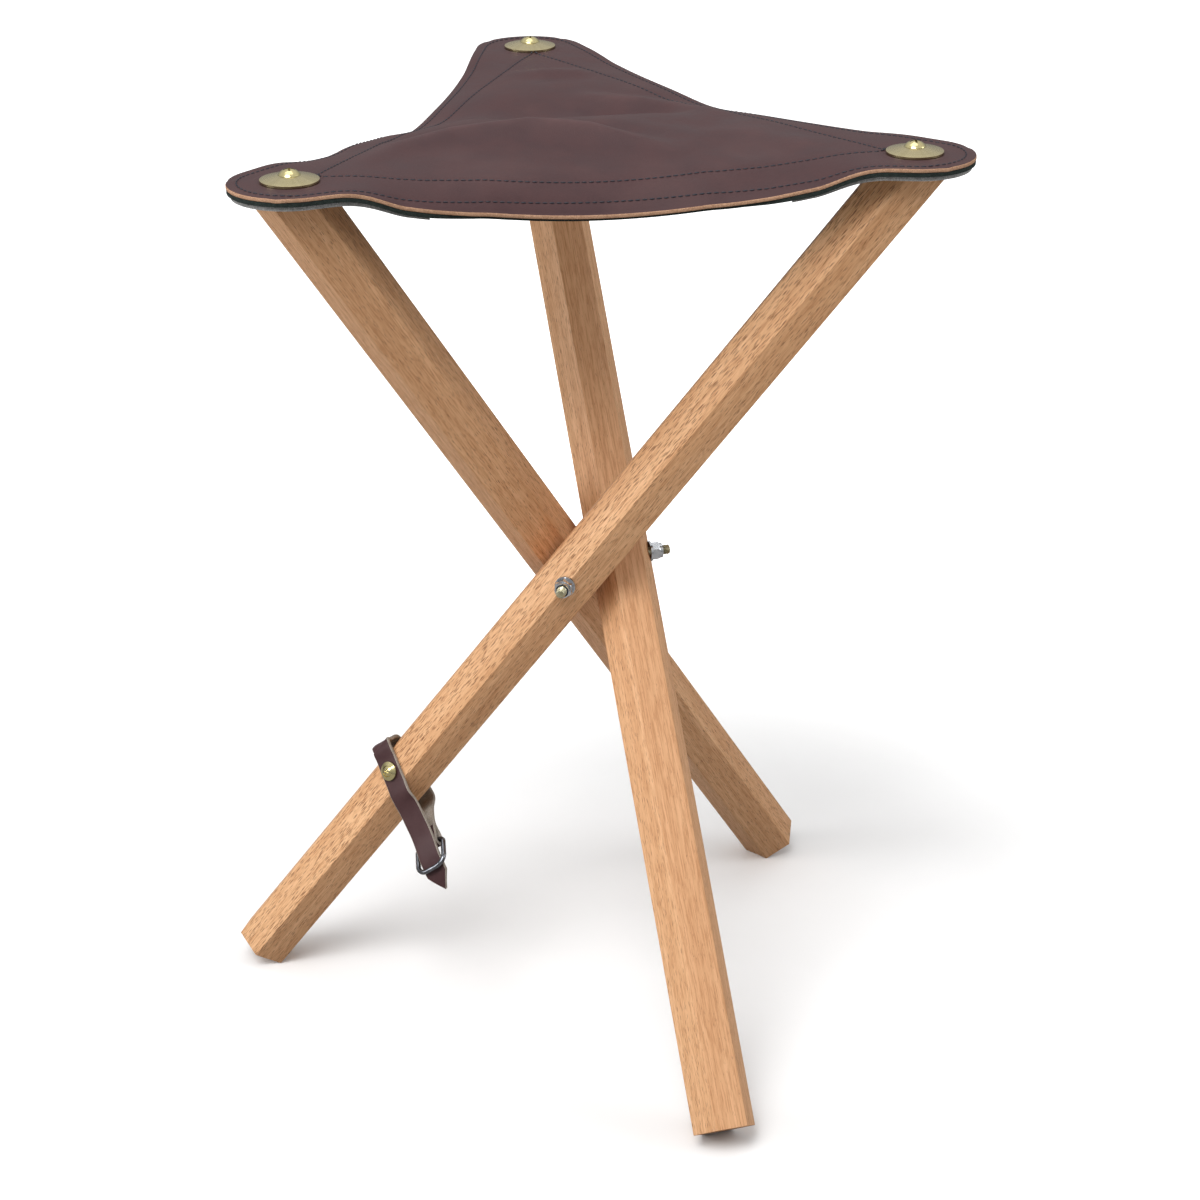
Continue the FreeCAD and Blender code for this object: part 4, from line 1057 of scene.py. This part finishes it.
def under_height(plan, corner):
    """Underside of the lowest layer at a stitched row."""
    ahead = (plan - SEAT_MIDDLE) @ CORNER_WAY[corner]
    on_patch = ahead > CORNER_REACH - PATCH_LENGTH
    low = np.where(on_patch, PATCH_TOP - PATCH_THICKNESS, BAND_TOP - BAND_THICKNESS)
    return low + seat_form(plan)


def seat_rows(corner):
    """Rows of stitches in a corner's part of the seat, above and below."""
    plans = [corner_outline(corner, OUTER_ROW_INSET, OUTER_ROW_CELLS)]
    for side, forward in ((side_before(corner), False), (corner, True)):
        along_way, inside_way = side_ways(side)
        near = math.sqrt(WASHER_RADIUS**2 - INNER_ROW_INSET**2) + ROW_GAP
        if forward:
            distances = np.linspace(near, SIDE_LENGTH / 2, INNER_ROW_POINTS)
        else:
            distances = np.linspace(SIDE_LENGTH / 2, SIDE_LENGTH - near, INNER_ROW_POINTS)
        plans.append(SCREW_PLACE[side] + distances[:, None] * along_way + inside_way * INNER_ROW_INSET)
    rows = []
    for plan in plans:
        rows.append(np.column_stack([plan, leather_height(plan) + STITCH_RISE]))
        rows.append(np.column_stack([plan, under_height(plan, corner) - STITCH_DROP]))
    return rows


for sewn_corner in CORNERS:
    seat_stitches = sew(sewn_corner + "_seat_stitches", seat_rows(sewn_corner))
    turn_with_leg(seat_stitches)


# Carrying strap round the right leg


# Half the leg's size across its flats and across its corners
LEG_FLAT = 13.25 * MM
LEG_CORNER = LEG_FLAT / math.cos(math.radians(30))
# The strap's screw lies this far down the leg from the bolt, and its path slants by this angle
STRAP_DROP = 143.5 * MM
STRAP_SKEW = math.radians(18)
STRAP_WIDTH, STRAP_THICKNESS = 12 * MM, 1.8 * MM
# Length of the pointed end and its width at the tip
STRAP_POINT, STRAP_TIP = 9 * MM, 0.5 * MM
# Rounding of the long edges
STRAP_EASE = 0.35 * MM
# The back stretch stands farther off the leg and shifts along it
STRAP_BULGE = 0.45 * MM
STRAP_DRIFT = -6 * MM
# Ring: thickness of its wire, distance between its bars and its tilt
RING_WIRE, RING_BARS, RING_TURN = 2.5 * MM, 15.5 * MM, math.radians(-30)
STRAP_STEPS, CURVE_STEPS = 220, 4000
# Faces of the strap's section on its smooth side
SMOOTH_FACES = range(10, 15)
# Free stretches: millimetres out and up from a corner of the leg's section
POINTED_TAIL = [(22.2, -52.6), (21.6, -46.8), (19.6, -41.0), (16.6, -35.0), (11.6, -27.6), (7.2, -18.0),
                (4.4, -9.4)]
RING_STEP = (15.95, -36.15)
ARCH_FRONT, ARCH_BACK = (-4.9, 5.6), (3.0, 4.6)
RING_TAIL = [(0.2, -3.5), (7.0, -5.8), (15.6, -8.1), (25.2, -13.2)]
RING_BENDS = (-146, -101, -56, -11, 34)
RING_SEAM = [(-2.5, 1.9), (-6.3, 5.4)]
# Shares of the back stretch's shift along the leg, from the arch to the ring
DRIFT_SHARES = (0.1, 0.3, 0.45, 0.6, 0.75, 0.9, 1.0, 1.0, 1.0, 1.0, 1.0, 0.9, 0.6, 0.2)
# Stretches on the leg: shares of the way along a face
FRONT_SHARES = (-0.33, 0.0, 0.5, 0.98, 1.32)
BACK_START, BACK_SHARES = -0.15, (0.13, 0.46, 0.74)
LOWER_SHARES = (0.26, 0.54, 0.87)
FACE_WAY = {
    "upper_front": STRAP_FACE,
    "upper_back": Vector((-STRAP_FACE.x, STRAP_FACE.y, 0)),
    "lower_back": Vector((-STRAP_FACE.x, -STRAP_FACE.y, 0)),
    "back": Vector((-1, 0, 0)),
}
LEG_SECTION = {
    "front": (LEG_CORNER, 0.0),
    "upper_front": (LEG_CORNER / 2, LEG_FLAT / math.cos(STRAP_SKEW)),
    "upper_back": (-LEG_CORNER / 2, LEG_FLAT / math.cos(STRAP_SKEW)),
    "back": (-LEG_CORNER, 0.0),
    "lower_back": (-LEG_CORNER / 2, -LEG_FLAT / math.cos(STRAP_SKEW)),
}
# The strap's middle stands this far off a face, measured in the slanting plane of its path
SLANTED_FACE = math.hypot(STRAP_FACE.x, STRAP_FACE.y * math.cos(STRAP_SKEW))
STRAP_STAND = (LAYER_GAP + STRAP_THICKNESS / 2) / SLANTED_FACE


def free_point(corner, step, face=None):
    """A point off the leg, a step in millimetres out and up from a corner of its section."""
    out, up = LEG_SECTION[corner]
    return (out + step[0] * MM, up + step[1] * MM, face)


def face_point(first, second, share, face, room=0.0):
    """A point on the face between two corners of the leg's section."""
    start = Vector(LEG_SECTION[first])
    run = Vector(LEG_SECTION[second]) - start
    outward = Vector((run.y, -run.x)).normalized()
    point = start + run * share + outward * (STRAP_STAND + room)
    return (point.x, point.y, face)


def ring_loop():
    """The strap's end, folded round the ring's rear bar and laid back on itself."""
    ring_out, ring_up, _ = free_point("front", RING_STEP)
    bar_out = ring_out - RING_BARS / 2 * math.cos(RING_TURN)
    bar_up = ring_up - RING_BARS / 2 * math.sin(RING_TURN)
    radius = RING_WIRE / 2 + LAYER_GAP + STRAP_THICKNESS / 2
    points = []
    for bend in RING_BENDS:
        angle = math.radians(bend)
        points.append((bar_out + radius * math.cos(angle), bar_up + radius * math.sin(angle), None))
    last_out, last_up, _ = points[-1]
    return points + [(last_out + step[0] * MM, last_up + step[1] * MM, None) for step in RING_SEAM]


def strap_path():
    """The strap's middle line, pointed end first, each point with the face it lies on, if any."""
    path = [free_point("front", step) for step in POINTED_TAIL]
    path += [face_point("front", "upper_front", share, "upper_front") for share in FRONT_SHARES]
    path += [free_point("upper_front", ARCH_FRONT), free_point("upper_back", ARCH_BACK)]
    path.append(face_point("upper_back", "back", BACK_START, "upper_back", STRAP_BULGE))
    path += [face_point("upper_back", "back", share, "upper_back", STRAP_BULGE / 2) for share in BACK_SHARES]
    path.append(free_point("back", ((-STRAP_STAND - STRAP_BULGE) / MM, 0.0), "back"))
    path += [face_point("back", "lower_back", share, "lower_back", STRAP_BULGE / 2) for share in LOWER_SHARES]
    path += [free_point("lower_back", step) for step in RING_TAIL]
    return path + ring_loop()


def smooth_curve(points, count):
    """Points, tangents and distances evenly along a smooth curve, and the distances of its given points."""
    chords = np.linalg.norm(np.diff(points, axis=0), axis=1)
    marks = np.concatenate([[0], np.cumsum(chords)])
    size = len(points)
    system, right = np.eye(size), np.zeros((size, 3))
    for k in range(1, size - 1):
        before, after = chords[k - 1], chords[k]
        system[k, k - 1:k + 2] = (before, 2 * (before + after), after)
        right[k] = 6 * ((points[k + 1] - points[k]) / after - (points[k] - points[k - 1]) / before)
    bends = np.linalg.solve(system, right)
    fine = np.linspace(0, marks[-1], CURVE_STEPS)
    spot = np.clip(np.searchsorted(marks, fine, side="right") - 1, 0, size - 2)
    span = chords[spot][:, None]
    ahead = (fine - marks[spot])[:, None]
    behind = span - ahead
    line = (bends[spot] * behind**3 + bends[spot + 1] * ahead**3) / (6 * span)
    line += (points[spot] / span - bends[spot] * span / 6) * behind
    line += (points[spot + 1] / span - bends[spot + 1] * span / 6) * ahead
    run = np.concatenate([[0], np.cumsum(np.linalg.norm(np.diff(line, axis=0), axis=1))])
    even = np.linspace(0, run[-1], count + 1)
    placed = np.stack([np.interp(even, run, line[:, k]) for k in range(3)], axis=1)
    tangents = np.gradient(placed, axis=0)
    tangents = tangents / np.linalg.norm(tangents, axis=1)[:, None]
    return placed, tangents, even, np.interp(marks, fine, run)


def strap_profile(width):
    """The strap's section as sideways and outward steps: flesh side, edge, smooth side, edge."""
    half, deep, ease = width / 2, STRAP_THICKNESS / 2, min(STRAP_EASE, width / 4)
    flat = [share * (half - ease) for share in (-1, -0.6, -0.2, 0.2, 0.6, 1)]
    inner = [(side, -deep) for side in flat]
    right = [(half - ease * 0.25, -deep + ease * 0.3), (half, -deep + ease), (half, deep - ease),
             (half - ease * 0.25, deep - ease * 0.3)]
    outer = [(-side, deep) for side in flat]
    left = [(-a, -b) for a, b in right]
    return inner + right + outer + left


def make_strap():
    """Sections along the strap's middle line: brown outside, pale at its edges and inside."""
    out, up = Vector((1, 0, 0)), Vector((0, -math.cos(STRAP_SKEW), math.sin(STRAP_SKEW)))
    across = Vector((0, math.sin(STRAP_SKEW), math.cos(STRAP_SKEW)))
    screw = STRAP_FACE * LEG_FLAT - UP * STRAP_DROP
    origin = Vector((0, 0, screw.z + screw.y / math.cos(STRAP_SKEW) * math.sin(STRAP_SKEW)))
    path = strap_path()
    line = np.array([origin + out * row[0] + up * row[1] for row in path])
    first_drift = len(POINTED_TAIL) + len(FRONT_SHARES)
    line[first_drift:first_drift + len(DRIFT_SHARES), 2] += STRAP_DRIFT * np.array(DRIFT_SHARES)
    placed, tangents, run, marks = smooth_curve(line, STRAP_STEPS)
    points = []
    for step in range(STRAP_STEPS + 1):
        tangent = Vector(tangents[step])
        free = across.cross(tangent)
        spot = int(np.clip(np.searchsorted(marks, run[step], side="right") - 1, 0, len(path) - 2))
        share = float(smooth_step((run[step] - marks[spot]) / (marks[spot + 1] - marks[spot])))
        before, after = (FACE_WAY.get(row[2], free) for row in path[spot:spot + 2])
        facing = before * (1 - share) + after * share
        sideways = tangent.cross(facing).normalized()
        facing = sideways.cross(tangent).normalized()
        width = min(STRAP_TIP + STRAP_WIDTH * run[step] / STRAP_POINT, STRAP_WIDTH)
        for side, depth in strap_profile(width):
            points.append(RIGHT_LEG @ (Vector(placed[step]) + sideways * side + facing * depth))
    size = len(strap_profile(STRAP_WIDTH))
    # the flesh side, the edges and both ends are pale
    kinds = [0 if k in SMOOTH_FACES else 1 for k in range(size)] * STRAP_STEPS + [1, 1]
    faces = tube_faces(STRAP_STEPS, size)
    made = add_object("strap_leather", points, faces, [STRAP_HIDE, STRAP_FLESH], kinds)
    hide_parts("strap")
    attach(made, "right_leg")


make_strap()


# Floor, light and camera


FLOOR_REACH = 8.0
# Soft lights: name, place, aim, size in metres and power in watts
LIGHTS = [
    ("key", (-1.1, -1.55, 2.8), (0, 0, 0.3), 1.8, 75),
    ("left_fill", (-2.4, -0.25, 1.0), (0, 0, 0.25), 1.2, 24),
    ("top", (-0.1, 0.2, 2.6), (0, 0, 0.2), 1.6, 12),
    ("right_fill", (2.2, -0.6, 1.3), (0, 0, 0.25), 1.4, 20),
]
# The photo's view, solved from the edges of the legs; lens and sensor in millimetres
CAMERA_PLACE = (-0.19723, -1.25419, 0.76446)
CAMERA_WAY = (0.1580, 0.8933, -0.4208)
CAMERA_LENS, CAMERA_SENSOR = 84.61, 36
CAMERA_SHIFT = (-0.0268, 0.0565)


def make_floor():
    """A wide pale floor that keeps the stool's shadow."""
    mesh = bpy.data.meshes.new("floor")
    corners = [(x * FLOOR_REACH, y * FLOOR_REACH, 0) for x, y in ((-1, -1), (1, -1), (1, 1), (-1, 1))]
    mesh.from_pydata(corners, [], [(0, 1, 2, 3)])
    made, tree, shader = new_material("floor_paper")
    tint = noise(tree, object_place(tree), 40.0, 2.0)
    paper = mix_colour(tree, tint, colour(242, 242, 242), colour(244, 244, 244))
    seen = tree.nodes.new("ShaderNodeLightPath").outputs["Is Camera Ray"]
    # other pieces see a duller floor, so that it throws less light up
    connect(tree, shader.inputs["Base Color"], mix_colour(tree, seen, colour(162, 160, 158), paper))
    shader.inputs["Roughness"].default_value = 0.95
    shader.inputs["Specular IOR Level"].default_value = 0.0
    shader.inputs["Emission Color"].default_value = (1, 1, 1, 1)
    # the paper fades into the white behind it away from the stool
    away = vector_maths(tree, "LENGTH", object_place(tree))["Value"]
    glow = stretch(tree, away, 0.22, 0.6, 0.0, 0.7)
    connect(tree, shader.inputs["Emission Strength"], maths(tree, "MULTIPLY", seen, glow))
    mesh.materials.append(made)
    floor = link_object("floor", mesh)


def make_world():
    """A pale room, brighter above, white where the camera sees it."""
    world = bpy.data.worlds.new("studio")
    bpy.context.scene.world = world
    world.use_nodes = True
    tree = world.node_tree
    background = tree.nodes["Background"]
    way = tree.nodes.new("ShaderNodeTexCoord").outputs["Generated"]
    rise = add_node(tree, "ShaderNodeSeparateXYZ", Vector=way).outputs["Z"]
    above = stretch(tree, rise, -0.1, 0.9, 0.2, 0.46)
    path = tree.nodes.new("ShaderNodeLightPath").outputs
    shiny = maths(tree, "MULTIPLY", path["Is Glossy Ray"], stretch(tree, rise, -0.1, 0.9, 0.3, 0.95))
    shown = maths(tree, "MAXIMUM", path["Is Camera Ray"], shiny)
    connect(tree, background.inputs["Strength"], maths(tree, "MAXIMUM", above, shown))
    background.inputs["Color"].default_value = (1, 1, 1, 1)


def set_view(thing, place, way):
    """Puts a light or camera at a place, looking along a direction."""
    thing.location = place
    thing.rotation_mode = "QUATERNION"
    thing.rotation_quaternion = way.to_track_quat("-Z", "Y")


def add_light(name, place, aim, size, power):
    """A square soft light."""
    light = bpy.data.lights.new(name, "AREA")
    light.size = size
    light.energy = power
    set_view(link_object(name, light), place, Vector(aim) - Vector(place))


def add_camera():
    """The view of the photo: a long lens from a little above the seat."""
    data = bpy.data.cameras.new("camera")
    data.sensor_width = CAMERA_SENSOR
    data.lens = CAMERA_LENS
    data.shift_x, data.shift_y = CAMERA_SHIFT
    made = link_object("camera", data)
    set_view(made, CAMERA_PLACE, Vector(CAMERA_WAY))
    bpy.context.scene.camera = made


make_floor()
make_world()
for light_facts in LIGHTS:
    add_light(*light_facts)
add_camera()
bpy.context.scene.view_settings.view_transform = "Standard"
